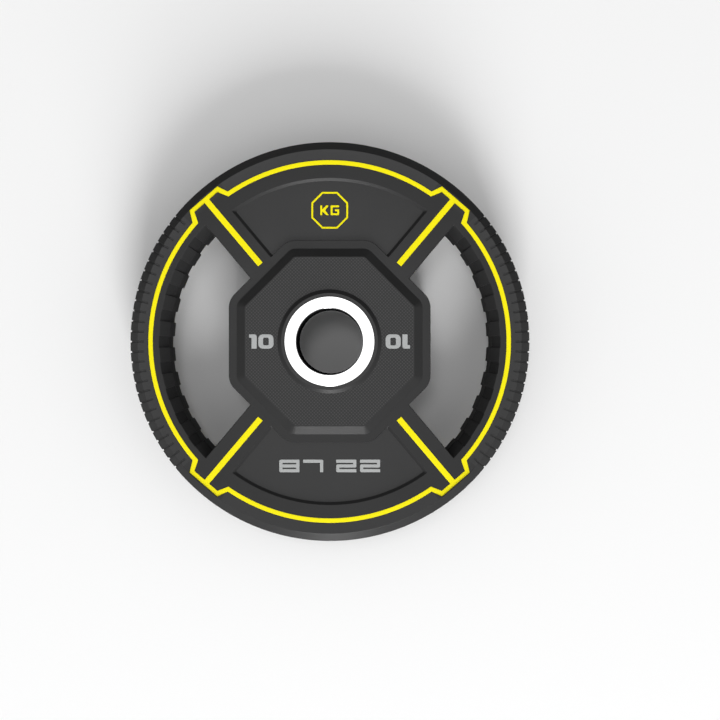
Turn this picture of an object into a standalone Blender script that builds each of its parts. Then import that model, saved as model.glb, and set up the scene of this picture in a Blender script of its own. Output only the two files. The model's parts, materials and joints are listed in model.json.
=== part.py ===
"""Urethane grip weight plate for a 50 mm bar sleeve, 10 kg, in metres with +Z up.

The plate lies flat on its rear hub face with its front face up. Its axis is Z, and the bore's centre
at the resting plane is the origin. Front and rear are alike: the rear is the front turned half round
about Y. Heights here are above the mid-plane, where the empty that carries every piece stands.
"""
import math

import bmesh
import bpy
from mathutils import Matrix, Vector

MM = 0.001

# Clearance between neighbouring solids
GAP = 0.3 * MM

# Hub sleeves, two flanged half sleeves of stainless steel
HUB_LENGTH = 40.0 * MM
BORE_RADIUS = 25.5 * MM
BORE_CHAMFER = 0.8 * MM
SLEEVE_WALL = 4.0 * MM
FLANGE_WIDTH = 5.0 * MM
FLANGE_THICKNESS = 3.0 * MM
FLANGE_CHAMFER = 0.4 * MM

# Urethane collar round the sleeve's flange
COLLAR_SETBACK = 0.3 * MM
COLLAR_LIP = 2.4 * MM
COLLAR_BEVEL = 2.9 * MM

# Octagonal hub: a plateau from the collar's foot outwards, its bevel, and a flat frame round it
PLATEAU_SETBACK = 2.0 * MM
PLATEAU_LAND = 25.1 * MM
PLATEAU_RISE = 2.5 * MM
PLATEAU_BEVEL = 6.5 * MM
PLATEAU_CORNER = 5.0 * MM
PLATEAU_FOOT_CORNER = 12.0 * MM
HUB_LAND = 6.2 * MM
HUB_CORNER = 15.0 * MM

# Rim: its wall, its chamfer and a band that rises a little towards the chamfer
PLATE_RADIUS = 155.0 * MM
RIM_CHAMFER_WIDTH = 6.8 * MM
RIM_CHAMFER_DEPTH = 6.6 * MM
RIM_BAND_WIDTH = 8.0 * MM
RIM_BAND_RISE = 0.6 * MM

# Yellow line: a ring inside the rim band, a jog at each spoke, and a bar along each spoke
LINE_TO_BAND = 0.4 * MM
LINE_WIDTH = 3.4 * MM
LINE_DEPTH = 1.2 * MM
JOG_FROM_EDGE = 8.3 * MM
JOG_NORMAL = math.radians(49.15)
JOG_OUTER_FOOT = (math.radians(40.9), math.radians(55.8))
JOG_OUTER_CORNER = (math.radians(43.1), math.radians(54.1))
JOG_INNER_FOOT = (math.radians(42.0), math.radians(55.1))
JOG_INNER_CORNER = (math.radians(43.75), math.radians(53.1))
BAR_ANGLE = math.radians(49.75)
BAR_TO_WINDOW = 4.6 * MM
BAR_WIDTH = 4.5 * MM
BAR_FROM_HUB = 1.5 * MM

# Spokes, whose centre lines do not pass through the bore's axis
SPOKE_ANGLE = math.radians(50.0)
SPOKE_TO_WINDOW = 15.5 * MM
SPOKE_TO_PANEL = 6.9 * MM

# Grip windows and the blocks on the rim's inner side
GRIP_LAND = 5.0 * MM
GRIP_CHAMFER_WIDTH = 6.8 * MM
GRIP_CHAMFER_DEPTH = 7.5 * MM
GRIP_GROOVE_DEPTH = 1.4 * MM
GRIP_GROOVE_RUNOUT = 0.4 * MM
GRIP_GROOVE_TRACE = 0.05 * MM
GRIP_GROOVE_ANGLE = math.radians(4.0)
GRIP_PITCH = math.radians(9.0)
GRIP_REACH = math.radians(40.0)

# Fan panels
PANEL_LAND = 10.3 * MM
PANEL_DEPTH = 1.5 * MM
PANEL_WALL_SLOPE = 1.6 * MM
PANEL_HUB_SLOPE = 0.8 * MM

# Tread on the outer rim, left and right, from beside the line outwards
TREAD_FROM_LINE = 3.4 * MM
TREAD_WIDTH = 1.9 * MM
TREAD_DEPTH = 1.3 * MM
TREAD_PITCH = math.radians(3.0)
TREAD_REACH = math.radians(40.0)

# Inlaid figures and the badge
MARK_DEPTH = 1.0 * MM
NUMERAL_FROM_COLLAR = 2.3 * MM
NUMERAL_HEIGHT = 11.6 * MM
ONE_WIDTH = 6.3 * MM
ONE_STEM = 4.5 * MM
ONE_FLAG = 3.2 * MM
ONE_ROUNDING = 1.9 * MM
ZERO_WIDTH = 12.5 * MM
ZERO_ROUNDING = 3.3 * MM
ZERO_COUNTER_WIDTH = 4.1 * MM
ZERO_COUNTER_HEIGHT = 6.4 * MM
ZERO_COUNTER_ROUNDING = 1.1 * MM
NUMERAL_SPACING = 0.8 * MM
POUND_INWARDS = 5.8 * MM
POUND_HEIGHT = 9.8 * MM
POUND_LETTER = 15.6 * MM
POUND_STROKE = 2.5 * MM
POUND_SPACING = 2.8 * MM
POUND_SPACE = 10.0 * MM
BADGE_INWARDS = 0.5 * MM
BADGE_APOTHEM = 14.2 * MM
BADGE_LINE = 1.4 * MM
UNIT_HEIGHT = 7.6 * MM
UNIT_LETTER = 6.6 * MM
UNIT_STROKE = 1.5 * MM
UNIT_SPACING = 1.4 * MM

# Foot of the letter K's leg, and how far its crotch stands from the middle, in strokes
LETTER_K_FOOT = 1.25
LETTER_K_CROTCH = 0.33

# Iron casting inside the jacket
COVER = 3.0 * MM
RIM_COVER = 6.0 * MM
CORE_CHAMFER = 2.0 * MM
CORE_BOSS_BEYOND_FLANGE = 2.6 * MM
CORE_BOSS_SLOPE = 1.9 * MM
CORE_HUB_INSIDE_PLATEAU = 5.2 * MM
CORE_HUB_SLOPE = 2.5 * MM
ANCHOR_RADIUS = 4.0 * MM
RIM_ANCHOR_FROM_EDGE = 10.5 * MM
RIM_ANCHOR_ANGLE = math.radians(18.0)
WEB_ANCHOR_ANGLE = math.radians(22.0)

# How finely round shapes are divided. The rim has one step for each tread pitch
RIM_STEPS = round(2 * math.pi / TREAD_PITCH)
HUB_STEPS = 48
CASTING_STEPS = 36
LINE_STEP = math.radians(6.0)
WINDOW_STEPS = 14
PANEL_STEPS = 14
CORNER_STEPS = 3
ZERO_STEPS = 2
ANCHOR_STEPS = 12

# How far cutters reach beyond what they cut, and the tolerances of the mesh work
OVERCUT = 2.0 * MM
WELD = 0.01 * MM
FLAT_ANGLE = math.radians(0.05)
MITRE_LIMIT = 0.3

# Heights above the mid-plane
HALF_HUB = HUB_LENGTH / 2
COLLAR_HEIGHT = HALF_HUB - COLLAR_SETBACK
PLATEAU_HEIGHT = HALF_HUB - PLATEAU_SETBACK
FACE_HEIGHT = PLATEAU_HEIGHT - PLATEAU_RISE
PANEL_HEIGHT = FACE_HEIGHT - PANEL_DEPTH
RIM_WALL_HEIGHT = FACE_HEIGHT + RIM_BAND_RISE - RIM_CHAMFER_DEPTH

# Radii of the hub, from the bore outwards
BARREL_RADIUS = BORE_RADIUS + SLEEVE_WALL
FLANGE_RADIUS = BARREL_RADIUS + FLANGE_WIDTH
COLLAR_RADIUS = FLANGE_RADIUS + GAP
COLLAR_FOOT = COLLAR_RADIUS + COLLAR_LIP + COLLAR_BEVEL
PLATEAU_APOTHEM = COLLAR_FOOT + PLATEAU_LAND
HUB_APOTHEM = PLATEAU_APOTHEM + PLATEAU_BEVEL + HUB_LAND

# Radii of the rim, from its wall inwards
RIM_BAND_OUTER = PLATE_RADIUS - RIM_CHAMFER_WIDTH
RIM_BAND_INNER = RIM_BAND_OUTER - RIM_BAND_WIDTH
LINE_OUTER = RIM_BAND_INNER - LINE_TO_BAND
LINE_INNER = LINE_OUTER - LINE_WIDTH
JOG_OUTER = PLATE_RADIUS - JOG_FROM_EDGE
JOG_INNER = JOG_OUTER - LINE_WIDTH
TREAD_START_RADIUS = LINE_OUTER + TREAD_FROM_LINE
GRIP_RADIUS = LINE_INNER - GRIP_LAND - GRIP_CHAMFER_WIDTH
PANEL_RADIUS = LINE_INNER - PANEL_LAND

# Places of the inlays and the anchor holes
BAR_START = HUB_APOTHEM + BAR_FROM_HUB
PANEL_MIDDLE = (HUB_APOTHEM + PANEL_RADIUS) / 2
NUMERAL_HALF = (ONE_WIDTH + NUMERAL_SPACING + ZERO_WIDTH) / 2
NUMERAL_CENTRE = COLLAR_FOOT + NUMERAL_FROM_COLLAR + NUMERAL_HALF
POUND_CENTRE = PANEL_MIDDLE - POUND_INWARDS
BADGE_CENTRE = PANEL_MIDDLE - BADGE_INWARDS
RIM_ANCHOR_CIRCLE = PLATE_RADIUS - RIM_COVER - RIM_ANCHOR_FROM_EDGE
WEB_ANCHOR_CIRCLE = PANEL_MIDDLE

# What follows from the sizes above
CORE_HUB_RADIUS = PLATEAU_APOTHEM - CORE_HUB_INSIDE_PLATEAU
GRIP_SLOPE = GRIP_CHAMFER_WIDTH / GRIP_CHAMFER_DEPTH
GRIP_GROOVES_EACH_WAY = int(GRIP_REACH / GRIP_PITCH)
TREADS_EACH_WAY = int(TREAD_REACH / TREAD_PITCH)

# Colour, roughness and metallic value of each finish
FINISHES = {
    "urethane": ((0.042, 0.042, 0.044), 0.62, 0.0),
    "grey_iron": ((0.11, 0.10, 0.095), 0.75, 0.6),
    "stainless_steel": ((0.80, 0.80, 0.79), 0.28, 1.0),
    "yellow_urethane": ((0.95, 0.86, 0.0), 0.5, 0.0),
    "grey_urethane": ((0.46, 0.46, 0.46), 0.55, 0.0),
}


def clear_scene():
    """Remove every object that the file opened with."""
    for item in list(bpy.data.objects):
        bpy.data.objects.remove(item, do_unlink=True)


def new_collection(name):
    collection = bpy.data.collections.new(name)
    bpy.context.scene.collection.children.link(collection)
    return collection


def finish(name):
    """Return the named Principled material, made once."""
    material = bpy.data.materials.get(name)
    if material is None:
        colour, roughness, metallic = FINISHES[name]
        material = bpy.data.materials.new(name)
        material.use_nodes = True
        shader = material.node_tree.nodes["Principled BSDF"]
        shader.inputs["Base Color"].default_value = (*colour, 1.0)
        shader.inputs["Roughness"].default_value = roughness
        shader.inputs["Metallic"].default_value = metallic
        material.diffuse_color = (*colour, 1.0)
    return material


# Plane geometry

def polar(radius, angle):
    return Vector((radius * math.cos(angle), radius * math.sin(angle)))


def arc(radius, start, end, steps, centre=Vector((0.0, 0.0))):
    """Points on an arc, both ends included."""
    return [centre + polar(radius, start + (end - start) * i / steps) for i in range(steps + 1)]


def mirrored_x(points):
    """The outline on the other side of the Y axis, running the same way round."""
    return [Vector((-p.x, p.y)) for p in reversed(points)]


def mirrored_y(points):
    """The outline on the other side of the X axis, running the same way round."""
    return [Vector((p.x, -p.y)) for p in reversed(points)]


def beside(angle, along, aside):
    """A point along a direction from the axis, and aside to its right."""
    return polar(along, angle) + polar(aside, angle - math.pi / 2)


def grown(points, distance):
    """The outline moved sideways, away from its material, with mitred corners."""
    result = []
    for i, point in enumerate(points):
        before = (point - points[i - 1]).normalized()
        after = (points[(i + 1) % len(points)] - point).normalized()
        side = Vector((before.y, -before.x))
        mitre = (side + Vector((after.y, -after.x))).normalized()
        result.append(point + mitre * (distance / max(mitre.dot(side), MITRE_LIMIT)))
    return result


def rounded(points, radii, steps=1):
    """The outline with each corner rounded to its radius, where 0 keeps it sharp."""
    result = []
    for i, (point, radius) in enumerate(zip(points, radii)):
        if radius == 0:
            result.append(point)
            continue
        back = (points[i - 1] - point).normalized()
        ahead = (points[(i + 1) % len(points)] - point).normalized()
        half_angle = back.angle(ahead) / 2
        centre = point + (back + ahead).normalized() * (radius / math.sin(half_angle))
        first = point + back * (radius / math.tan(half_angle)) - centre
        turn = math.pi - 2 * half_angle
        if back.x * ahead.y - back.y * ahead.x > 0:
            turn = -turn
        start = math.atan2(first.y, first.x)
        result += arc(radius, start, start + turn, steps, centre)
    return result


def moved(points, shift, turn=0.0):
    """The outline turned about the origin and then shifted."""
    spin = Matrix.Rotation(turn, 2)
    return [spin @ p + shift for p in points]


def octagon_corner(apothem, rounding, start, end):
    """The octagon's rounded corner between the sides that face start and end."""
    corner_ray = (start + end) / 2
    centre = polar((apothem - rounding) / math.cos(math.pi / 8), corner_ray)
    return arc(rounding, start, end, CORNER_STEPS, centre)


def octagon(apothem, rounding=0.0):
    """A regular octagon with flats towards X and Y, its corners rounded or sharp."""
    if rounding == 0:
        return [polar(apothem / math.cos(math.pi / 8), (i + 0.5) * math.pi / 4) for i in range(8)]
    points = []
    for side in range(8):
        start = side * math.pi / 4
        points += octagon_corner(apothem, rounding, start, start + math.pi / 4)
    return points


# Outlines of the plate's openings and panels

def window_outline(arc_radius, grow, groove):
    """The right grip window, running anticlockwise from the lower spoke's outer end.

    grow widens it towards spokes and hub. groove is the depth of the grip grooves, 0 for none.
    """
    aside = SPOKE_TO_WINDOW - grow
    apothem = HUB_APOTHEM - grow
    end = SPOKE_ANGLE - math.asin(aside / arc_radius)
    outer = []
    if groove:
        for i in range(-GRIP_GROOVES_EACH_WAY, GRIP_GROOVES_EACH_WAY + 1):
            low = i * GRIP_PITCH - GRIP_GROOVE_ANGLE / 2
            high = low + GRIP_GROOVE_ANGLE
            outer += [polar(arc_radius, low), polar(arc_radius + groove, low)]
            outer += [polar(arc_radius + groove, high), polar(arc_radius, high)]
        outer = [polar(arc_radius, -end)] + outer + [polar(arc_radius, end)]
    else:
        outer = arc(arc_radius, -end, end, WINDOW_STEPS)
    to_side = SPOKE_ANGLE - math.pi / 4
    along = (apothem - aside * math.sin(to_side)) / math.cos(to_side)
    inner = [beside(SPOKE_ANGLE, along, aside)]
    inner += list(reversed(octagon_corner(apothem, HUB_CORNER, 0.0, math.pi / 4)))
    inner += mirrored_y(inner)
    return outer + inner


def panel_outline(inset):
    """Upper fan panel, running anticlockwise from the right spoke. inset narrows it."""
    aside = SPOKE_TO_PANEL + inset
    apothem = HUB_APOTHEM + inset * PANEL_HUB_SLOPE / PANEL_WALL_SLOPE
    radius = PANEL_RADIUS - inset
    start = SPOKE_ANGLE + math.asin(aside / radius)
    outer = arc(radius, start, math.pi - start, PANEL_STEPS)
    to_side = SPOKE_ANGLE - math.pi / 4
    along = (apothem + aside * math.sin(to_side)) / math.cos(to_side)
    inner = list(reversed(octagon_corner(apothem, HUB_CORNER, math.pi / 4, math.pi / 2)))
    inner.append(beside(SPOKE_ANGLE, along, -aside))
    return outer + mirrored_x(inner) + inner


# Outlines of the yellow line

def jog_point(distance, angle):
    """Where a ray at angle meets the jog's straight edge at distance from the axis."""
    return polar(distance / math.cos(angle - JOG_NORMAL), angle)


def quarter_to_ring(quarter):
    """Repeat a quarter outline, which runs from the X axis to the Y axis, round the plate."""
    half = quarter + mirrored_x(quarter)[1:]
    return half[:-1] + [Vector((p.x, -p.y)) for p in reversed(half)][:-1]


def line_outer():
    """Outer edge of the line's ring with its four jogs."""
    first, last = JOG_OUTER_FOOT
    quarter = arc(LINE_OUTER, 0.0, first, round(first / LINE_STEP))
    quarter += [jog_point(JOG_OUTER, angle) for angle in JOG_OUTER_CORNER]
    quarter += arc(LINE_OUTER, last, math.pi / 2, round((math.pi / 2 - last) / LINE_STEP))
    return quarter_to_ring(quarter)


def line_inner():
    """Inner edge of the line's ring, with the jogs and the bars that point to the hub."""
    first, last = JOG_INNER_FOOT
    quarter = arc(LINE_INNER, 0.0, first, round(first / LINE_STEP))
    quarter.append(jog_point(JOG_INNER, JOG_INNER_CORNER[0]))
    for aside, outwards in ((BAR_TO_WINDOW, False), (BAR_TO_WINDOW - BAR_WIDTH, True)):
        to_jog = BAR_ANGLE - JOG_NORMAL
        along = (JOG_INNER - aside * math.sin(to_jog)) / math.cos(to_jog)
        pair = [beside(BAR_ANGLE, along, aside), beside(BAR_ANGLE, BAR_START, aside)]
        quarter += reversed(pair) if outwards else pair
    quarter.append(jog_point(JOG_INNER, JOG_INNER_CORNER[1]))
    quarter += arc(LINE_INNER, last, math.pi / 2, round((math.pi / 2 - last) / LINE_STEP))
    return quarter_to_ring(quarter)


def line_loops():
    return [line_outer(), list(reversed(line_inner()))]


# Figures and letters, each a list of loops with its holes running clockwise

def block(width, height, rounding=0.0, steps=1):
    """A rectangle about the origin."""
    x, y = width / 2, height / 2
    corners = [Vector((-x, -y)), Vector((x, -y)), Vector((x, y)), Vector((-x, y))]
    return rounded(corners, [rounding] * 4, steps)


def figure(points, width, height, round_at=(), rounding=0.0):
    """An outline given in the glyph's own box, moved to be centred on the origin."""
    corners = [Vector((x - width / 2, y - height / 2)) for x, y in points]
    return rounded(corners, [rounding if i in round_at else 0 for i in range(len(corners))])


def figure_one():
    w, h = ONE_WIDTH, NUMERAL_HEIGHT
    stem = w - ONE_STEM
    points = [(stem, 0), (w, 0), (w, h), (0, h), (0, h - ONE_FLAG), (stem, h - ONE_FLAG)]
    return [figure(points, w, h, (2,), ONE_ROUNDING)]


def figure_zero():
    counter = block(ZERO_COUNTER_WIDTH, ZERO_COUNTER_HEIGHT, ZERO_COUNTER_ROUNDING)
    return [block(ZERO_WIDTH, NUMERAL_HEIGHT, ZERO_ROUNDING, ZERO_STEPS), list(reversed(counter))]


def figure_two(w, h, s):
    low, high = (h - s) / 2, (h + s) / 2
    points = [(0, 0), (w, 0), (w, s), (s, s), (s, low), (w, low),
              (w, h), (0, h), (0, h - s), (w - s, h - s), (w - s, high), (0, high)]
    return [figure(points, w, h, (5, 6, 11), s / 2)]


def letter_l(w, h, s):
    return [figure([(0, 0), (w, 0), (w, s), (s, s), (s, h), (0, h)], w, h, (0,), s / 2)]


def letter_b(w, h, s):
    counter = block(w - 2 * s, (h - 3 * s) / 2)
    rise = Vector((0.0, (h - s) / 4))
    outer = rounded(block(w, h), [0, s / 2, s / 2, 0])
    return [outer, moved(list(reversed(counter)), rise), moved(list(reversed(counter)), -rise)]


def letter_k(w, h, s):
    low, high = (h - s) / 2, (h + s) / 2
    foot = w - s * LETTER_K_FOOT
    crotch = w / 2 + s * LETTER_K_CROTCH
    points = [(0, 0), (s, 0), (s, low), (foot, 0), (w, 0), (crotch, h / 2),
              (w, h), (foot, h), (s, high), (s, h), (0, h)]
    return [figure(points, w, h)]


def letter_g(w, h, s):
    low, high = (h - s) / 2, (h + s) / 2
    points = [(0, 0), (w, 0), (w, high), (w / 2, high), (w / 2, low), (w - s, low),
              (w - s, s), (s, s), (s, h - s), (w, h - s), (w, h), (0, h)]
    return [figure(points, w, h, (0, 1, 11), s / 2)]


def row_of(glyphs, widths, spacings):
    """Glyphs set in a row that is centred on the origin."""
    x = -(sum(widths) + sum(spacings)) / 2
    row = []
    for glyph, width, spacing in zip(glyphs, widths, [*spacings, 0.0]):
        row.append([moved(loop, Vector((x + width / 2, 0.0))) for loop in glyph])
        x += width + spacing
    return row


def set_down(names, glyphs, centre, turn):
    """Glyphs turned and moved to their place on the plate, each with its piece's name."""
    return [(name, [moved(loop, centre, turn) for loop in glyph]) for name, glyph in zip(names, glyphs)]


def numeral(side, word):
    """The weight in kilograms. side is -1 on the left, where it reads upright, and 1 on the right."""
    row = row_of([figure_one(), figure_zero()], [ONE_WIDTH, ZERO_WIDTH], [NUMERAL_SPACING])
    names = [f"front_{word}_one", f"front_{word}_zero"]
    return set_down(names, row, Vector((side * NUMERAL_CENTRE, 0.0)), math.pi if side > 0 else 0.0)


def pound_mark():
    """The weight in pounds, on the lower panel, reading from outside the plate."""
    size = (POUND_LETTER, POUND_HEIGHT, POUND_STROKE)
    glyphs = [figure_two(*size), figure_two(*size), letter_l(*size), letter_b(*size)]
    row = row_of(glyphs, [POUND_LETTER] * 4, [POUND_SPACING, POUND_SPACE, POUND_SPACING])
    names = ["front_pound_first_two", "front_pound_second_two", "front_pound_l", "front_pound_b"]
    return set_down(names, row, Vector((0.0, -POUND_CENTRE)), math.pi)


def unit_badge():
    """An octagonal line with the unit of weight in it, on the upper panel."""
    size = (UNIT_LETTER, UNIT_HEIGHT, UNIT_STROKE)
    row = row_of([letter_k(*size), letter_g(*size)], [UNIT_LETTER] * 2, [UNIT_SPACING])
    row.append([octagon(BADGE_APOTHEM), list(reversed(octagon(BADGE_APOTHEM - BADGE_LINE)))])
    names = ["front_badge_k", "front_badge_g", "front_badge_ring"]
    return set_down(names, row, Vector((0.0, BADGE_CENTRE)), 0.0)


# Solids

def place(item, collection, carrier):
    collection.objects.link(item)
    item.parent = carrier
    return item


def turned(name, profile, steps):
    """A closed profile of (radius, height) points turned about Z, its outer side running down.

    It starts half a step from +X, so that the middle of a facet lies there.
    """
    mesh = bpy.data.meshes.new(name)
    edges = [(i, (i + 1) % len(profile)) for i in range(len(profile))]
    starts = [polar(radius, math.pi / steps) for radius, _ in profile]
    mesh.from_pydata([(p.x, p.y, height) for p, (_, height) in zip(starts, profile)], edges, [])
    item = bpy.data.objects.new(name, mesh)
    screw = item.modifiers.new("turn", "SCREW")
    screw.axis = "Z"
    screw.angle = 2 * math.pi
    screw.steps = steps
    screw.render_steps = steps
    screw.use_merge_vertices = True
    screw.merge_threshold = WELD
    flatten(item)
    return item


def flatten(item):
    """Merge the coplanar facets of an object into larger flat faces."""
    merge = item.modifiers.new("flat_faces", "DECIMATE")
    merge.decimate_type = "DISSOLVE"
    merge.angle_limit = FLAT_ANGLE


def both_faces(upper):
    """Add the rear half to a profile given from the bore outwards above the mid-plane."""
    return upper + [(radius, -height) for radius, height in reversed(upper)]


def lofted(name, sections):
    """A solid through outlines of equal length, given as (height, outline) from the lowest up."""
    bm = bmesh.new()
    rings = [[bm.verts.new((p.x, p.y, height)) for p in outline] for height, outline in sections]
    count = len(rings[0])
    for low, high in zip(rings, rings[1:]):
        for i in range(count):
            j = (i + 1) % count
            bm.faces.new((low[i], low[j], high[j], high[i]))
    bm.faces.new(list(reversed(rings[0])))
    bm.faces.new(rings[-1])
    mesh = bpy.data.meshes.new(name)
    bm.to_mesh(mesh)
    bm.free()
    return bpy.data.objects.new(name, mesh)


def flat(name, loops, low, high):
    """A flat solid between two heights, from a filled 2D curve with one spline for each loop."""
    curve = bpy.data.curves.new(name, "CURVE")
    curve.dimensions = "2D"
    curve.fill_mode = "BOTH"
    curve.extrude = (high - low) / 2
    for loop in loops:
        spline = curve.splines.new("POLY")
        spline.points.add(len(loop) - 1)
        for point, (x, y) in zip(spline.points, loop):
            point.co = (x, y, 0.0, 1.0)
        spline.use_cyclic_u = True
    outline = bpy.data.objects.new(name + "_outline", curve)
    outline.location.z = (low + high) / 2
    bpy.context.scene.collection.objects.link(outline)
    bpy.context.view_layer.update()
    graph = bpy.context.evaluated_depsgraph_get()
    mesh = bpy.data.meshes.new_from_object(outline.evaluated_get(graph))
    bm = bmesh.new()
    bm.from_mesh(mesh)
    bm.transform(outline.matrix_world)
    bmesh.ops.remove_doubles(bm, verts=bm.verts, dist=WELD)
    bmesh.ops.recalc_face_normals(bm, faces=bm.faces)
    bm.to_mesh(mesh)
    bm.free()
    bpy.data.objects.remove(outline)
    mesh.name = name
    return bpy.data.objects.new(name, mesh)


def blocks(name, boxes):
    """Separate boxes in one mesh, each given as (size, matrix)."""
    bm = bmesh.new()
    for size, matrix in boxes:
        made = bmesh.ops.create_cube(bm, size=1.0)
        bmesh.ops.scale(bm, vec=size, verts=made["verts"])
        bmesh.ops.transform(bm, matrix=matrix, verts=made["verts"])
    mesh = bpy.data.meshes.new(name)
    bm.to_mesh(mesh)
    bm.free()
    return bpy.data.objects.new(name, mesh)


def pins(name, radius, length, centres):
    """Upright cylinders in one mesh."""
    bm = bmesh.new()
    for centre in centres:
        spot = Matrix.Translation((centre.x, centre.y, 0.0))
        bmesh.ops.create_cone(bm, cap_ends=True, segments=ANCHOR_STEPS, radius1=radius, radius2=radius,
                              depth=length, matrix=spot)
    mesh = bpy.data.meshes.new(name)
    bm.to_mesh(mesh)
    bm.free()
    return bpy.data.objects.new(name, mesh)


def combine(item, other, operation):
    """Join or cut with another solid, which stays in the file as a hidden wire guide."""
    other.display_type = "WIRE"
    other.hide_render = True
    boolean = item.modifiers.new(other.name, "BOOLEAN")
    boolean.operation = operation
    boolean.solver = "EXACT"
    boolean.object = other


class Workshop:
    """Holds the collections and the empty that carries the plate, and finishes each piece."""

    def __init__(self):
        self.parts = new_collection("grip_weight_plate")
        self.guides = new_collection("cutters")
        self.carrier = bpy.data.objects.new("plate_mid_plane", None)
        self.carrier.location.z = HALF_HUB
        self.parts.objects.link(self.carrier)

    def guide(self, item):
        return place(item, self.guides, self.carrier)

    def guides_on_both_faces(self, item):
        """The guide and its copy turned half round about Y, which shares its mesh."""
        rear = item.copy()
        rear.name = item.name + "_rear"
        rear.rotation_euler.y = math.pi
        return [self.guide(item), self.guide(rear)]

    def part(self, item, material):
        item.data.materials.clear()
        item.data.materials.append(finish(material))
        return place(item, self.parts, self.carrier)

    def parts_on_both_faces(self, item, material):
        """The front piece and its rear copy, each named for its face."""
        rear = item.copy()
        rear.name = item.name.replace("front", "rear", 1)
        rear.rotation_euler.y = math.pi
        place(rear, self.parts, self.carrier)
        return [self.part(item, material), rear]


# Cutters

def window_cutter(name, grow, groove, side):
    """Cuts a grip window, grown by so much on every side for the cut in the casting."""
    grip = GRIP_RADIUS + grow
    lean = math.sqrt(1 + GRIP_SLOPE ** 2) - 1
    chamfer_start = FACE_HEIGHT - GRIP_CHAMFER_DEPTH - grow * lean / GRIP_SLOPE
    top = FACE_HEIGHT + OVERCUT
    mouth = grip + (top - chamfer_start) * GRIP_SLOPE
    runout = 0.0
    if groove:
        fall = (groove - GRIP_GROOVE_RUNOUT) / GRIP_CHAMFER_DEPTH
        runout = max(groove - fall * (top - chamfer_start), GRIP_GROOVE_TRACE)
    wall = window_outline(grip, grow, groove)
    flare = window_outline(mouth, grow, runout)
    if side < 0:
        wall, flare = mirrored_x(wall), mirrored_x(flare)
    return lofted(name, [(-top, flare), (-chamfer_start, wall), (chamfer_start, wall), (top, flare)])


def panel_cutter(name, floor, inset):
    """Cuts the front's upper fan panel down to the floor, where its outline is inset."""
    rise = PANEL_DEPTH + OVERCUT
    mouth = inset - rise * PANEL_WALL_SLOPE / PANEL_DEPTH
    return lofted(name, [(floor, panel_outline(inset)), (floor + rise, panel_outline(mouth))])


def lower_copy(item, name):
    """The cutter turned half round about Z, for the lower panel."""
    copy = bpy.data.objects.new(name, item.data)
    copy.rotation_euler.z = math.pi
    return copy


def tread_cutter():
    """Radial notches over the rim on both sides, as deep as the tread."""
    length = PLATE_RADIUS + OVERCUT - TREAD_START_RADIUS
    height = 2 * (FACE_HEIGHT + RIM_BAND_RISE + OVERCUT)
    boxes = []
    for side in (0.0, math.pi):
        for i in range(-TREADS_EACH_WAY, TREADS_EACH_WAY + 1):
            spin = Matrix.Rotation(side + i * TREAD_PITCH, 4, "Z")
            shift = Matrix.Translation((TREAD_START_RADIUS + length / 2, 0.0, 0.0))
            boxes.append(((length, TREAD_WIDTH, height), spin @ shift))
    return blocks("tread_notches", boxes)


def tread_floor():
    """The rim's section drawn in by the tread's depth, which the notches stop at."""
    top = FACE_HEIGHT - TREAD_DEPTH
    chamfer_shift = TREAD_DEPTH * math.tan(math.pi / 8)
    return turned("tread_floor", both_faces([
        (TREAD_START_RADIUS - OVERCUT, top),
        (RIM_BAND_OUTER - chamfer_shift, top + RIM_BAND_RISE),
        (PLATE_RADIUS - TREAD_DEPTH, RIM_WALL_HEIGHT - chamfer_shift),
    ]), RIM_STEPS)


# Pieces

def casting(name, grow):
    """The iron core. grow makes it larger all over, for the room that the jacket leaves for it."""
    boss = HALF_HUB - FLANGE_THICKNESS - GAP + grow
    boss_radius = FLANGE_RADIUS + CORE_BOSS_BEYOND_FLANGE + grow
    hub = PLATEAU_HEIGHT - COVER + grow
    disc = FACE_HEIGHT - COVER + grow
    rim = PLATE_RADIUS - RIM_COVER + grow
    chamfer = CORE_CHAMFER + grow / 2
    inner = BARREL_RADIUS + GAP - grow
    return turned(name, both_faces([
        (inner, boss),
        (boss_radius, boss),
        (boss_radius + CORE_BOSS_SLOPE, hub),
        (CORE_HUB_RADIUS + grow, hub),
        (CORE_HUB_RADIUS + CORE_HUB_SLOPE + grow, disc),
        (rim - chamfer, disc),
        (rim, disc - chamfer),
    ]), CASTING_STEPS)


def anchor_centres():
    """Centres of the holes that lock the urethane through the casting."""
    centres = []
    for turn in (0.0, math.pi):
        for way in (-1, 1):
            centres.append(polar(RIM_ANCHOR_CIRCLE, turn + way * RIM_ANCHOR_ANGLE))
            centres.append(polar(WEB_ANCHOR_CIRCLE, turn + math.pi / 2 + way * WEB_ANCHOR_ANGLE))
    return centres


def shape_casting(shop, item, grow, label):
    """Cut the windows, panels and anchor holes out of the casting or of its grown copy."""
    cover = COVER - grow
    for side, word in ((1, "right"), (-1, "left")):
        window = window_cutter(f"{label}_{word}_window", cover, 0.0, side)
        combine(item, shop.guide(window), "DIFFERENCE")
    panel = panel_cutter(f"{label}_upper_panel", PANEL_HEIGHT - cover, PANEL_WALL_SLOPE - cover)
    for cutter in (panel, lower_copy(panel, f"{label}_lower_panel")):
        for guide in shop.guides_on_both_faces(cutter):
            combine(item, guide, "DIFFERENCE")
    holes = pins(f"{label}_anchors", ANCHOR_RADIUS - grow, HUB_LENGTH, anchor_centres())
    combine(item, shop.guide(holes), "DIFFERENCE")


def iron_core(shop):
    core = shop.part(casting("iron_core", 0.0), "grey_iron")
    shape_casting(shop, core, 0.0, "core")
    return core


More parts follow.
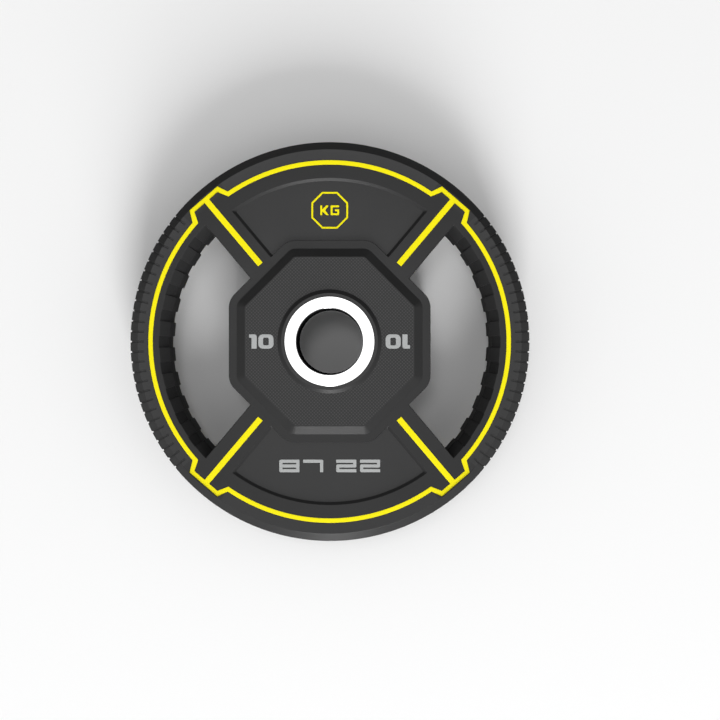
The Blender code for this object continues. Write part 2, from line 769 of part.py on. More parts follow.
def jacket_blank():
    """The jacket as a plain turned disc with its rim bands and outer chamfers."""
    return turned("urethane_jacket", both_faces([
        (BORE_RADIUS, FACE_HEIGHT),
        (RIM_BAND_INNER, FACE_HEIGHT),
        (RIM_BAND_OUTER, FACE_HEIGHT + RIM_BAND_RISE),
        (PLATE_RADIUS, RIM_WALL_HEIGHT),
    ]), RIM_STEPS)


def collar():
    """The ring round the sleeve's flange, standing up from the plateau on both faces."""
    lip = COLLAR_RADIUS + COLLAR_LIP
    bevel_slope = (COLLAR_HEIGHT - PLATEAU_HEIGHT) / COLLAR_BEVEL
    foot = lip + COLLAR_BEVEL + OVERCUT / 2
    return turned("collar", both_faces([
        (BORE_RADIUS + OVERCUT, COLLAR_HEIGHT),
        (lip, COLLAR_HEIGHT),
        (foot, COLLAR_HEIGHT - (foot - lip) * bevel_slope),
    ]), HUB_STEPS)


def plateau():
    """The raised octagon, whose bevel runs on below the face so that it joins cleanly."""
    slope = PLATEAU_BEVEL / (PLATEAU_HEIGHT - FACE_HEIGHT)
    root = OVERCUT / 2
    foot = PLATEAU_APOTHEM + PLATEAU_BEVEL + root * slope
    return lofted("plateau", [(FACE_HEIGHT - root, octagon(foot, PLATEAU_FOOT_CORNER)),
                              (PLATEAU_HEIGHT, octagon(PLATEAU_APOTHEM, PLATEAU_CORNER))])


def inlays():
    """Each inlay of the front: its pieces, finish, surface height and depth."""
    line = [("front_line_inlay", line_loops())]
    return {
        "line": (line, "yellow_urethane", FACE_HEIGHT, LINE_DEPTH),
        "left_numeral": (numeral(-1, "left"), "grey_urethane", PLATEAU_HEIGHT, MARK_DEPTH),
        "right_numeral": (numeral(1, "right"), "grey_urethane", PLATEAU_HEIGHT, MARK_DEPTH),
        "pound_mark": (pound_mark(), "grey_urethane", PANEL_HEIGHT, MARK_DEPTH),
        "unit_badge": (unit_badge(), "yellow_urethane", PANEL_HEIGHT, MARK_DEPTH),
    }


def recess(shop, jacket, name, pieces, surface, depth):
    """Cut room for an inlay on both faces, GAP wider and deeper than its pieces."""
    loops = [grown(loop, GAP) for _, piece in pieces for loop in piece]
    cutter = flat(name, loops, surface - depth - GAP, surface + OVERCUT)
    for guide in shop.guides_on_both_faces(cutter):
        combine(jacket, guide, "DIFFERENCE")


def urethane_jacket(shop):
    jacket = shop.part(jacket_blank(), "urethane")
    for guide in shop.guides_on_both_faces(plateau()):
        combine(jacket, guide, "UNION")
    combine(jacket, shop.guide(collar()), "UNION")
    mouth = [polar(COLLAR_RADIUS, (i + 0.5) * 2 * math.pi / HUB_STEPS) for i in range(HUB_STEPS)]
    bore = lofted("jacket_bore", [(-HALF_HUB, mouth), (HALF_HUB, mouth)])
    combine(jacket, shop.guide(bore), "DIFFERENCE")
    for side, word in ((1, "right"), (-1, "left")):
        window = window_cutter(f"{word}_window", 0.0, GRIP_GROOVE_DEPTH, side)
        combine(jacket, shop.guide(window), "DIFFERENCE")
    panel = panel_cutter("upper_panel", PANEL_HEIGHT, PANEL_WALL_SLOPE)
    for cutter in (panel, lower_copy(panel, "lower_panel")):
        for guide in shop.guides_on_both_faces(cutter):
            combine(jacket, guide, "DIFFERENCE")
    notches = shop.guide(tread_cutter())
    combine(notches, shop.guide(tread_floor()), "DIFFERENCE")
    combine(jacket, notches, "DIFFERENCE")
    for name, (pieces, _, surface, depth) in inlays().items():
        recess(shop, jacket, f"{name}_recess", pieces, surface, depth)
    room = shop.guide(casting("casting_room", GAP))
    shape_casting(shop, room, GAP, "room")
    combine(jacket, room, "DIFFERENCE")
    return jacket


def hub_sleeves(shop):
    """Flanged half sleeves that meet at the mid-plane, each turned from one profile."""
    end = GAP / 2
    top = HALF_HUB
    seat = top - FLANGE_THICKNESS
    profile = [
        (BORE_RADIUS, top - BORE_CHAMFER),
        (BORE_RADIUS + BORE_CHAMFER, top),
        (FLANGE_RADIUS - FLANGE_CHAMFER, top),
        (FLANGE_RADIUS, top - FLANGE_CHAMFER),
        (FLANGE_RADIUS, seat),
        (BARREL_RADIUS, seat),
        (BARREL_RADIUS, end),
        (BORE_RADIUS, end),
    ]
    shop.parts_on_both_faces(turned("front_hub_sleeve", profile, HUB_STEPS), "stainless_steel")


def build():
    clear_scene()
    shop = Workshop()
    iron_core(shop)
    urethane_jacket(shop)
    hub_sleeves(shop)
    for pieces, material, surface, depth in inlays().values():
        for name, loops in pieces:
            shop.parts_on_both_faces(flat(name, loops, surface - depth, surface), material)
    bpy.context.view_layer.update()


build()
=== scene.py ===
"""Urethane grip weight plate in a small photo studio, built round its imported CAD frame.

Lengths are in metres. The plate lies flat with its front face up and its axis on Z, and the bore's centre
at the resting plane is the origin. Heights in Plan are above the mid-plane of the plate. Front and rear are
alike: the rear is the front turned half round about Y.
"""

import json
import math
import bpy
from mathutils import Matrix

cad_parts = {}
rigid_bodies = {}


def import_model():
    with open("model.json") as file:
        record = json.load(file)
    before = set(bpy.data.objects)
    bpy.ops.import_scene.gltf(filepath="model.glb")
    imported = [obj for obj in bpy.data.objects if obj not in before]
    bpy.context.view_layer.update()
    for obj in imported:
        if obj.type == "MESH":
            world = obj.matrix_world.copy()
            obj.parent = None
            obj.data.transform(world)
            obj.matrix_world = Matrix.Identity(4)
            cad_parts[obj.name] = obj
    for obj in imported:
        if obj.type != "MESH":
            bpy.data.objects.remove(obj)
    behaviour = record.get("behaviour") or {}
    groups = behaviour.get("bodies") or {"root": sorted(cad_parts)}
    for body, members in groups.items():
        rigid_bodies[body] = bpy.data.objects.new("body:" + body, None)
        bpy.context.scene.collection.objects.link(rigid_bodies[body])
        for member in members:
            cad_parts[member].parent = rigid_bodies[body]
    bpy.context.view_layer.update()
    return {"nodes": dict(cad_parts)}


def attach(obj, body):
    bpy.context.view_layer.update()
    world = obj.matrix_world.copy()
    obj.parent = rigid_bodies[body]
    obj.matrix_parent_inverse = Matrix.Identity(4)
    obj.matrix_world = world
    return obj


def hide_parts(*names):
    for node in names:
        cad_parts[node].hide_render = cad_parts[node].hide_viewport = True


bl_info = {
    "name": "Urethane Weight Plate",
    "version": (1, 0, 0),
    "blender": (4, 5, 0),
    "location": "3D View > Sidebar > Weight Plate",
    "description": "Builds a urethane grip weight plate and a studio round its CAD frame",
    "category": "Object",
}

import bmesh
import bpy
import numpy as np
from bpy.props import FloatProperty, FloatVectorProperty, PointerProperty
from mathutils import Matrix, Vector
from mathutils.geometry import tessellate_polygon

for item in list(bpy.data.objects):
    bpy.data.objects.remove(item, do_unlink=True)
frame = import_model()
BODY = "root"

# Fineness of round shapes
ROUND_STEPS = 360
HUB_STEPS = 180
ANCHOR_STEPS = 24
OCTAGON_STEPS = 10
PANEL_STEPS = 48
LINE_STEP = math.radians(1.5)
GROOVE_STEPS = 3
BLOCK_STEPS = 4
FIGURE_STEPS = 9
EDGE_STEPS = 4
FINE_EDGE_STEPS = 2

# How far shapes reach into or past each other, and how far an opening's or a mark's rounded mouth does
OVERCUT = 0.001
FACE_OVERCUT = 0.00015
MARK_OVERCUT = 0.00005

# How near points are welded, how near they lie on a plane, and the digits that tell heights apart
WELD = 0.00001
ON_PLANE = 0.000002
HEIGHT_DIGITS = 7

# The least turn that is rounded, the share of a side that a rounding may take, and the limit of mitres
CORNER_TURN = math.radians(12.0)
CORNER_SHARE = 0.45
MITRE_LIMIT = 0.3

# The angle from which an edge is shaded sharp, and how level the faces of the rim band are at least
SHARP_ANGLE = math.radians(33.0)
LEAST_LEVEL = 0.95

# Numbers of the jacket's second and third finish
MESHED = 1
SATIN = 2

# The angle that an octagon's side covers, and half of it
EIGHTH = math.pi / 4
SIXTEENTH = math.pi / 8

# Turns of the front half to the rear about Y, and of the upper panel to the lower one
TO_REAR = Matrix.Rotation(math.pi, 4, "Y")
HALF_TURN = Matrix.Rotation(math.pi, 4, "Z")

# The grain of the urethanes, and the sheen of the jacket
GRAIN_SCALE = 2600.0
GRAIN_HEIGHT = 0.00002
GRAIN_STRENGTH = 0.6
JACKET_ROUGHNESS = 0.38
JACKET_SPECULAR = 0.5
ROUGHNESS_SPREAD = 0.04

# The values that noise mostly lies between, and the scale that gives the wave texture one band a metre
NOISE_LOW = 0.3
NOISE_HIGH = 0.7
WAVE_SCALE = math.pi / 10


# Settings that a user would change

class HubSizes(bpy.types.PropertyGroup):
    """Sizes of the sleeves, the collar and the octagonal hub, from the bore outwards."""

    length: FloatProperty(
        name="Hub length", description="Length over both flanges", default=0.040, unit="LENGTH")
    bore: FloatProperty(
        name="Bore radius", description="Radius of the hole for the bar", default=0.0255, unit="LENGTH")
    bore_chamfer: FloatProperty(
        name="Bore chamfer", description="Chamfer at the mouth of the bore", default=0.0004, unit="LENGTH")
    wall: FloatProperty(
        name="Sleeve wall", description="Wall of the sleeve's barrel", default=0.004, unit="LENGTH")
    flange: FloatProperty(
        name="Flange width", description="Width of the flange beyond the barrel", default=0.005,
        unit="LENGTH")
    flange_thickness: FloatProperty(
        name="Flange thickness", description="Thickness of the flange", default=0.003, unit="LENGTH")
    flange_edge: FloatProperty(
        name="Flange edge", description="Rounding of the flange's rim", default=0.0003, unit="LENGTH")
    gap: FloatProperty(
        name="Clearance", description="Clearance between pieces of the hub", default=0.0002, unit="LENGTH")
    collar_setback: FloatProperty(
        name="Collar setback", description="How far the collar stays below the flange",
        default=0.0003, unit="LENGTH")
    collar_lip: FloatProperty(
        name="Collar lip", description="Flat width of the urethane collar", default=0.0024, unit="LENGTH")
    collar_bevel: FloatProperty(
        name="Collar bevel", description="Width of the collar's slope", default=0.0029, unit="LENGTH")
    collar_mouth: FloatProperty(
        name="Collar mouth", description="Rounding of the collar next to the flange", default=0.00015,
        unit="LENGTH")
    collar_edge: FloatProperty(
        name="Collar edge", description="Rounding of the collar's edges", default=0.0005, unit="LENGTH")
    plateau_setback: FloatProperty(
        name="Plateau setback", description="How far the plateau stays below the flange",
        default=0.002, unit="LENGTH")
    plateau_land: FloatProperty(
        name="Plateau width", description="From the collar's foot to the plateau's edge",
        default=0.0251, unit="LENGTH")
    plateau_rise: FloatProperty(
        name="Plateau rise", description="Height of the plateau over the face", default=0.0025, unit="LENGTH")
    plateau_bevel: FloatProperty(
        name="Plateau bevel", description="Width of the plateau's slope", default=0.0065, unit="LENGTH")
    plateau_corner: FloatProperty(
        name="Plateau corner", description="Corner radius at the plateau's top", default=0.003, unit="LENGTH")
    plateau_foot_corner: FloatProperty(
        name="Plateau foot corner", description="Corner radius at the foot of its slope",
        default=0.009, unit="LENGTH")
    plateau_edge: FloatProperty(
        name="Plateau edge", description="Rounding of the plateau's edge", default=0.0012, unit="LENGTH")
    land: FloatProperty(
        name="Hub frame", description="Flat frame round the plateau's slope", default=0.0062, unit="LENGTH")
    corner: FloatProperty(
        name="Hub corner", description="Corner radius of the octagonal hub", default=0.015, unit="LENGTH")


class RimSizes(bpy.types.PropertyGroup):
    """Sizes of the rim and of the tread on its outer side."""

    radius: FloatProperty(
        name="Plate radius", description="Radius of the whole plate", default=0.1553, unit="LENGTH")
    chamfer_width: FloatProperty(
        name="Chamfer width", description="Width of the outer chamfer", default=0.0071, unit="LENGTH")
    chamfer_depth: FloatProperty(
        name="Chamfer depth", description="Height of the outer chamfer", default=0.0066, unit="LENGTH")
    band_width: FloatProperty(
        name="Band width", description="Width of the sloping rim band", default=0.008, unit="LENGTH")
    band_rise: FloatProperty(
        name="Band rise", description="Rise of the rim band outwards", default=0.0006, unit="LENGTH")
    wall_edge: FloatProperty(
        name="Wall edge", description="Rounding between rim wall and chamfer", default=0.0008, unit="LENGTH")
    band_edge: FloatProperty(
        name="Band edge", description="Rounding between chamfer and band", default=0.0008, unit="LENGTH")
    tread_from_line: FloatProperty(
        name="Tread start", description="From the line to the tread's inner end", default=0.0034,
        unit="LENGTH")
    tread_width: FloatProperty(
        name="Tread width", description="Width of one tread notch", default=0.0014, unit="LENGTH")
    tread_depth: FloatProperty(
        name="Tread depth", description="Depth of one tread notch", default=0.0009, unit="LENGTH")
    tread_edge: FloatProperty(
        name="Tread edge", description="Rounding of a notch's edges", default=0.00025, unit="LENGTH")
    tread_runout: FloatProperty(
        name="Tread runout", description="Share of the depth that a notch has on the band", default=0.65,
        subtype="FACTOR")
    tread_draft: FloatProperty(
        name="Tread draft", description="How far a notch's sides lean out", default=0.00005, unit="LENGTH")
    tread_pitch: FloatProperty(
        name="Tread pitch", description="Angle from notch to notch", default=math.radians(3.0),
        subtype="ANGLE")
    tread_reach: FloatProperty(
        name="Tread reach", description="How far the tread runs each way from the side",
        default=math.radians(40.0), subtype="ANGLE")


class WindowSizes(bpy.types.PropertyGroup):
    """Sizes of the grip windows and of the blocks on the rim's inner side."""

    spoke_angle: FloatProperty(
        name="Spoke angle", description="Direction of the first spoke", default=math.radians(50.0),
        subtype="ANGLE")
    to_window: FloatProperty(
        name="Spoke to window", description="From the spoke's line to the window", default=0.0155,
        unit="LENGTH")
    grip_land: FloatProperty(
        name="Grip land", description="Flat ring between the line and the grip", default=0.005, unit="LENGTH")
    chamfer_width: FloatProperty(
        name="Grip chamfer width", description="Width of the grip's chamfer", default=0.0068, unit="LENGTH")
    chamfer_depth: FloatProperty(
        name="Grip chamfer depth", description="Height of the grip's chamfer", default=0.0075, unit="LENGTH")
    groove_depth: FloatProperty(
        name="Groove depth", description="Depth of the grooves in the grip", default=0.0014, unit="LENGTH")
    groove_runout: FloatProperty(
        name="Groove runout", description="Depth left at the chamfer's upper edge", default=0.0004,
        unit="LENGTH")
    groove_angle: FloatProperty(
        name="Groove angle", description="Angle that one groove covers", default=math.radians(4.0),
        subtype="ANGLE")
    pitch: FloatProperty(
        name="Grip pitch", description="Angle from groove to groove", default=math.radians(9.0),
        subtype="ANGLE")
    reach: FloatProperty(
        name="Grip reach", description="How far the grooves run each way", default=math.radians(40.0),
        subtype="ANGLE")
    mouth_edge: FloatProperty(
        name="Mouth edge", description="Rounding at the chamfer's upper edge", default=0.0008, unit="LENGTH")
    foot_edge: FloatProperty(
        name="Foot edge", description="Rounding between chamfer and wall", default=0.0012, unit="LENGTH")
    side_edge: FloatProperty(
        name="Side edge", description="Rounding along spokes and hub", default=0.0005, unit="LENGTH")
    corner: FloatProperty(
        name="Corner", description="Rounding of the window's corners", default=0.0005, unit="LENGTH")


class PanelSizes(bpy.types.PropertyGroup):
    """Sizes of the two recessed fan panels."""

    to_panel: FloatProperty(
        name="Spoke to panel", description="From the spoke's line to the panel", default=0.0069,
        unit="LENGTH")
    land: FloatProperty(
        name="Panel land", description="Flat ring between the line and the panel", default=0.0103,
        unit="LENGTH")
    depth: FloatProperty(
        name="Panel depth", description="Depth of the panel", default=0.0015, unit="LENGTH")
    wall_slope: FloatProperty(
        name="Wall slope", description="Width of the sloping wall", default=0.0021, unit="LENGTH")
    hub_slope: FloatProperty(
        name="Hub-side slope", description="Width of the wall on the hub's side", default=0.0004,
        unit="LENGTH")
    edge: FloatProperty(
        name="Edge", description="Rounding at the wall's head and foot", default=0.0004, unit="LENGTH")
    corner: FloatProperty(
        name="Corner", description="Corner rounding of the panel", default=0.001, unit="LENGTH")


class LineSizes(bpy.types.PropertyGroup):
    """Sizes of the yellow line with its jogs and spoke bars."""

    to_band: FloatProperty(
        name="Line to band", description="From the line to the rim band", default=0.0004, unit="LENGTH")
    width: FloatProperty(
        name="Line width", description="Width of the ring", default=0.0034, unit="LENGTH")
    depth: FloatProperty(
        name="Line depth", description="Depth of the inlaid line", default=0.0012, unit="LENGTH")
    jog_from_edge: FloatProperty(
        name="Jog from edge", description="From the rim's wall to the jog", default=0.0082, unit="LENGTH")
    jog_normal: FloatProperty(
        name="Jog direction", description="Direction that the jog faces", default=math.radians(49.15),
        subtype="ANGLE")
    jog_outer_foot: FloatVectorProperty(
        name="Outer feet", description="Where the jog leaves the ring, outer edge", size=2,
        default=(math.radians(40.9), math.radians(55.8)), unit="ROTATION")
    jog_outer_corner: FloatVectorProperty(
        name="Outer corners", description="Corners of the jog, outer edge", size=2,
        default=(math.radians(43.1), math.radians(54.1)), unit="ROTATION")
    jog_inner_foot: FloatVectorProperty(
        name="Inner feet", description="Where the jog leaves the ring, inner edge", size=2,
        default=(math.radians(42.0), math.radians(55.1)), unit="ROTATION")
    jog_inner_corner: FloatVectorProperty(
        name="Inner corners", description="Corners of the jog, inner edge", size=2,
        default=(math.radians(43.75), math.radians(53.1)), unit="ROTATION")
    bar_angle: FloatProperty(
        name="Bar angle", description="Direction of the spoke bar", default=math.radians(49.75),
        subtype="ANGLE")
    bar_to_window: FloatProperty(
        name="Bar to window", description="From the bar's axis to its window side", default=0.0046,
        unit="LENGTH")
    bar_width: FloatProperty(
        name="Bar width", description="Width of the spoke bar", default=0.0045, unit="LENGTH")
    bar_from_hub: FloatProperty(
        name="Bar from hub", description="From the hub to the bar's end", default=0.0021, unit="LENGTH")
    corner: FloatProperty(
        name="Corner", description="Rounding of the line's corners", default=0.0002, unit="LENGTH")


class MarkSizes(bpy.types.PropertyGroup):
    """Sizes of the inlaid figures and of the badge."""

    depth: FloatProperty(
        name="Mark depth", description="Depth of figures and badge", default=0.001, unit="LENGTH")
    gap: FloatProperty(
        name="Inlay joint", description="Joint between an inlay and the urethane", default=0.0001,
        unit="LENGTH")
    edge: FloatProperty(
        name="Inlay edge", description="Rounding of an inlay's edges", default=0.0001, unit="LENGTH")
    corner: FloatProperty(
        name="Corner", description="Rounding of the figures' corners", default=0.00025, unit="LENGTH")
    numeral_from_collar: FloatProperty(
        name="Numeral from collar", description="From the collar's foot to the numeral", default=0.0030,
        unit="LENGTH")
    numeral_height: FloatProperty(
        name="Numeral height", description="Height of the numerals", default=0.0110, unit="LENGTH")
    numeral_spacing: FloatProperty(
        name="Numeral spacing", description="Space between the two figures", default=0.0012, unit="LENGTH")
    one_width: FloatProperty(
        name="One width", description="Width of the figure one", default=0.0059, unit="LENGTH")
    one_stem: FloatProperty(
        name="One stem", description="Width of its stem", default=0.0040, unit="LENGTH")
    one_flag: FloatProperty(
        name="One flag", description="Height of its flag", default=0.0027, unit="LENGTH")
    one_rounding: FloatProperty(
        name="One rounding", description="Rounding of its head", default=0.0018, unit="LENGTH")
    zero_width: FloatProperty(
        name="Zero width", description="Width of the figure zero", default=0.0117, unit="LENGTH")
    zero_rounding: FloatProperty(
        name="Zero rounding", description="Outer corner radius of the zero", default=0.0036, unit="LENGTH")
    zero_counter: FloatVectorProperty(
        name="Zero counter", description="Width and height of its hole", size=2, default=(0.0043, 0.0059),
        unit="LENGTH")
    zero_counter_rounding: FloatProperty(
        name="Counter rounding", description="Corner radius of its hole", default=0.0011, unit="LENGTH")
    pound_inwards: FloatProperty(
        name="Pounds inwards", description="Pound mark's shift from the panel's middle", default=0.0058,
        unit="LENGTH")
    pound_letter: FloatVectorProperty(
        name="Pound letter", description="Width, height and stroke of a letter", size=3,
        default=(0.0156, 0.0098, 0.0025), unit="LENGTH")
    pound_spacing: FloatProperty(
        name="Pound spacing", description="Space between letters", default=0.0028, unit="LENGTH")
    pound_space: FloatProperty(
        name="Pound word space", description="Space between number and unit", default=0.010, unit="LENGTH")
    badge_inwards: FloatProperty(
        name="Badge inwards", description="Badge's shift from the panel's middle", default=0.0005,
        unit="LENGTH")
    badge_apothem: FloatProperty(
        name="Badge size", description="From the badge's centre to a side", default=0.0142, unit="LENGTH")
    badge_line: FloatProperty(
        name="Badge line", description="Width of its outline", default=0.0014, unit="LENGTH")
    unit_letter: FloatVectorProperty(
        name="Unit letter", description="Width, height and stroke of a letter", size=3,
        default=(0.0066, 0.0076, 0.0015), unit="LENGTH")
    unit_spacing: FloatProperty(
        name="Unit spacing", description="Space between the unit's letters", default=0.0014, unit="LENGTH")
    k_foot: FloatProperty(
        name="K foot", description="Foot of the letter K's leg, in strokes", default=1.25)
    k_crotch: FloatProperty(
        name="K crotch", description="How far the K's crotch stands out, in strokes", default=0.33)


class CastingSizes(bpy.types.PropertyGroup):
    """Sizes of the iron casting, for which the jacket leaves room."""

    cover: FloatProperty(
        name="Cover", description="Urethane over the casting", default=0.003, unit="LENGTH")
    rim_cover: FloatProperty(
        name="Rim cover", description="Urethane outside the casting's rim", default=0.0063, unit="LENGTH")
    chamfer: FloatProperty(
        name="Chamfer", description="Chamfer of the casting's rim", default=0.002, unit="LENGTH")
    boss_beyond_flange: FloatProperty(
        name="Boss", description="How far the boss reaches beyond the flange", default=0.0026, unit="LENGTH")
    boss_slope: FloatProperty(
        name="Boss slope", description="Width of the boss's slope", default=0.0019, unit="LENGTH")
    hub_inside_plateau: FloatProperty(
        name="Hub inside plateau", description="From the plateau's edge to the casting's hub",
        default=0.0052, unit="LENGTH")
    hub_slope: FloatProperty(
        name="Hub slope", description="Width of the casting hub's slope", default=0.0025, unit="LENGTH")
    anchor_radius: FloatProperty(
        name="Anchor radius", description="Radius of the anchor holes", default=0.004, unit="LENGTH")
    rim_anchor_from_edge: FloatProperty(
        name="Rim anchors", description="From the casting's rim to the anchor holes", default=0.0105,
        unit="LENGTH")
    rim_anchor_angle: FloatProperty(
        name="Rim anchor angle", description="Anchor holes each way from the side",
        default=math.radians(18.0), subtype="ANGLE")
    web_anchor_angle: FloatProperty(
        name="Web anchor angle", description="Anchor holes each way from the middle",
        default=math.radians(22.0), subtype="ANGLE")


class FinishSettings(bpy.types.PropertyGroup):
    """Colours and grain of the finishes."""

    urethane: FloatVectorProperty(
        name="Urethane", description="Colour of the jacket", size=3, subtype="COLOR",
        default=(0.012, 0.012, 0.0122))
    satin: FloatVectorProperty(
        name="Satin urethane", description="Colour of the panels and the plateau", size=3, subtype="COLOR",
        default=(0.021, 0.021, 0.0213))
    yellow: FloatVectorProperty(
        name="Yellow urethane", description="Colour of line and badge", size=3, subtype="COLOR",
        default=(0.95, 0.84, 0.0))
    grey: FloatVectorProperty(
        name="Grey urethane", description="Colour of the figures", size=3, subtype="COLOR",
        default=(0.42, 0.43, 0.43))
    steel: FloatVectorProperty(
        name="Flange steel", description="Colour of the polished flanges", size=3, subtype="COLOR",
        default=(0.98, 0.98, 0.98))
    # The bore's near-black colour is painted shade, standing in for the dark inside of the bore
    bore: FloatVectorProperty(
        name="Bore", description="Colour of the blackened bore", size=3, subtype="COLOR",
        default=(0.012, 0.012, 0.013))
    iron: FloatVectorProperty(
        name="Grey iron", description="Colour of the casting", size=3, subtype="COLOR",
        default=(0.11, 0.10, 0.095))
    mesh_pitch: FloatProperty(
        name="Mesh pitch", description="Pitch of the plateau's fine mesh along its diagonals",
        default=0.00184, unit="LENGTH")


class StudioSettings(bpy.types.PropertyGroup):
    """Camera, floor and lights."""

    camera_place: FloatVectorProperty(
        name="Camera", description="Place of the camera", size=3, subtype="TRANSLATION", unit="LENGTH",
        default=(0.0219, -0.0060, 0.646))
    lens: FloatProperty(
        name="Focal length", description="Focal length in millimetres", default=39.6)
    shift: FloatVectorProperty(
        name="Shift", description="Camera shift across and up", size=2, default=(0.0027, -0.0149))
    floor_size: FloatProperty(
        name="Floor size", description="Side of the floor", default=8.0, unit="LENGTH")
    floor: FloatVectorProperty(
        name="Floor", description="Colour of the floor", size=3, subtype="COLOR", default=(0.91, 0.91, 0.91))
    horizon: FloatProperty(
        name="Horizon light", description="Brightness of the surround at the horizon", default=2.0)
    zenith: FloatProperty(
        name="Zenith light", description="Brightness of the surround overhead", default=0.05)
    far_side: FloatProperty(
        name="Far side", description="Share of the surround's light that comes from behind", default=0.4,
        subtype="FACTOR")
    sheen: FloatVectorProperty(
        name="Sheen", description="Brightness that glossy pieces mirror at the horizon and overhead", size=2,
        default=(0.42, 0.59))
    dark_side: FloatProperty(
        name="Dark side", description="Brightness that glossy pieces mirror from behind", default=0.15)
    below: FloatProperty(
        name="Below", description="Share of the sheen that comes from below the horizon", default=0.1,
        subtype="FACTOR")
    key_power: FloatProperty(
        name="Key light", description="Power of the key light in watts", default=670.0)
    key_place: FloatVectorProperty(
        name="Key place", description="Place of the key light", size=3, subtype="TRANSLATION",
        unit="LENGTH", default=(0.75, -5.77, 1.35))
    key_size: FloatVectorProperty(
        name="Key size", description="Width and height of the key light", size=2, unit="LENGTH",
        default=(2.5, 3.0))
    top_place: FloatVectorProperty(
        name="Top place", description="Place of the weak top light", size=3, subtype="TRANSLATION",
        unit="LENGTH", default=(-0.35, 0.75, 2.4))
    top_size: FloatVectorProperty(
        name="Top size", description="Width and height of the top light", size=2, unit="LENGTH",
        default=(0.8, 0.8))
    top_strength: FloatProperty(
        name="Top light", description="Brightness of the top light", default=2.6)
    strip_strength: FloatProperty(
        name="Strip", description="Brightness of the strip that the lower slopes mirror", default=5.0)
    strip_place: FloatVectorProperty(
        name="Strip place", description="Place of the strip", size=3, subtype="TRANSLATION",
        unit="LENGTH", default=(0.0, -2.63, 1.22))
    strip_size: FloatVectorProperty(
        name="Strip size", description="Width and height of the strip", size=2, unit="LENGTH",
        default=(0.7, 3.35))
    overhead_strength: FloatProperty(
        name="Overhead", description="Brightness that the flange mirrors", default=1.04)
    overhead_place: FloatVectorProperty(
        name="Overhead place", description="Place of the overhead panel", size=3, subtype="TRANSLATION",
        unit="LENGTH", default=(-0.1, 0.2, 2.5))
    overhead_size: FloatVectorProperty(
        name="Overhead size", description="Width and height of the overhead panel", size=2, unit="LENGTH",
        default=(1.1, 1.1))


SETTINGS = {
    "hub": HubSizes,
    "rim": RimSizes,
    "windows": WindowSizes,
    "panels": PanelSizes,
    "line": LineSizes,
    "marks": MarkSizes,
    "casting": CastingSizes,
    "finishes": FinishSettings,
    "studio": StudioSettings,
}


class Plan:
    """The settings, and the radii and heights that follow from them. Heights are above the mid-plane."""

    def __init__(self, scene):
        for name in SETTINGS:
            setattr(self, name, getattr(scene, f"plate_{name}"))
        hub, rim, line, marks = self.hub, self.rim, self.line, self.marks

        self.half = hub.length / 2
        self.collar_top = self.half - hub.collar_setback
        self.plateau_top = self.half - hub.plateau_setback
        self.face = self.plateau_top - hub.plateau_rise
        self.panel_floor = self.face - self.panels.depth
        self.rim_wall = self.face + rim.band_rise - rim.chamfer_depth

        self.barrel = hub.bore + hub.wall
        self.flange = self.barrel + hub.flange
        self.collar = self.flange + hub.gap
        self.collar_lip = self.collar + hub.collar_lip
        self.collar_foot = self.collar_lip + hub.collar_bevel
        self.plateau = self.collar_foot + hub.plateau_land
        self.plateau_foot = self.plateau + hub.plateau_bevel
        self.hub_side = self.plateau_foot + hub.land

        self.band_outer = rim.radius - rim.chamfer_width
        self.band_inner = self.band_outer - rim.band_width
        self.line_outer = self.band_inner - line.to_band
        self.line_inner = self.line_outer - line.width
        self.jog_outer = rim.radius - line.jog_from_edge
        self.jog_inner = self.jog_outer - line.width
        self.tread_start = self.line_outer + rim.tread_from_line
        self.grip = self.line_inner - self.windows.grip_land - self.windows.chamfer_width
        self.panel_arc = self.line_inner - self.panels.land
        self.panel_middle = (self.hub_side + self.panel_arc) / 2
        self.casting_rim = rim.radius - self.casting.rim_cover

        # Beds of the inlays, each the height of its surface, its depth and the rounding of its corners
        self.face_bed = (self.face, line.depth, line.corner)
        self.plateau_bed = (self.plateau_top, marks.depth, marks.corner)
        self.panel_bed = (self.panel_floor, marks.depth, marks.corner)


# Plane geometry

def polar(radius, angle):
    return Vector((radius * math.cos(angle), radius * math.sin(angle)))


def arc(radius, start, end, steps, centre=Vector((0.0, 0.0))):
    """Points on an arc, both ends included."""
    return [centre + polar(radius, start + (end - start) * i / steps) for i in range(steps + 1)]


def circle(radius, steps):
    """A circle that starts half a step from +X, so that it is its own mirror image."""
    return [polar(radius, (i + 0.5) * 2 * math.pi / steps) for i in range(steps)]


def mirrored_x(points):
    """The outline on the other side of the Y axis, running the same way round."""
    return [Vector((-p.x, p.y)) for p in reversed(points)]


def mirrored_y(points):
    """The outline on the other side of the X axis, running the same way round."""
    return [Vector((p.x, -p.y)) for p in reversed(points)]


def both_ways(reach, pitch):
    """Angles a pitch apart that reach both ways from 0."""
    each_way = int(reach / pitch)
    return [i * pitch for i in range(-each_way, each_way + 1)]


def beside(angle, along, aside):
    """A point along a direction from the axis, and aside to its right."""
    return polar(along, angle) + polar(aside, angle - math.pi / 2)


def moved(points, shift, turn=0.0):
    """The outline turned about the origin and then shifted."""
    spin = Matrix.Rotation(turn, 2)
    return [spin @ p + shift for p in points]


def grown(points, distance):
    """The outline moved sideways, away from its material, with mitred corners."""
    result = []
    for i, point in enumerate(points):
        before = (point - points[i - 1]).normalized()
        after = (points[(i + 1) % len(points)] - point).normalized()
        side = Vector((before.y, -before.x))
        mitre = (side + Vector((after.y, -after.x))).normalized()
        result.append(point + mitre * (distance / max(mitre.dot(side), MITRE_LIMIT)))
    return result


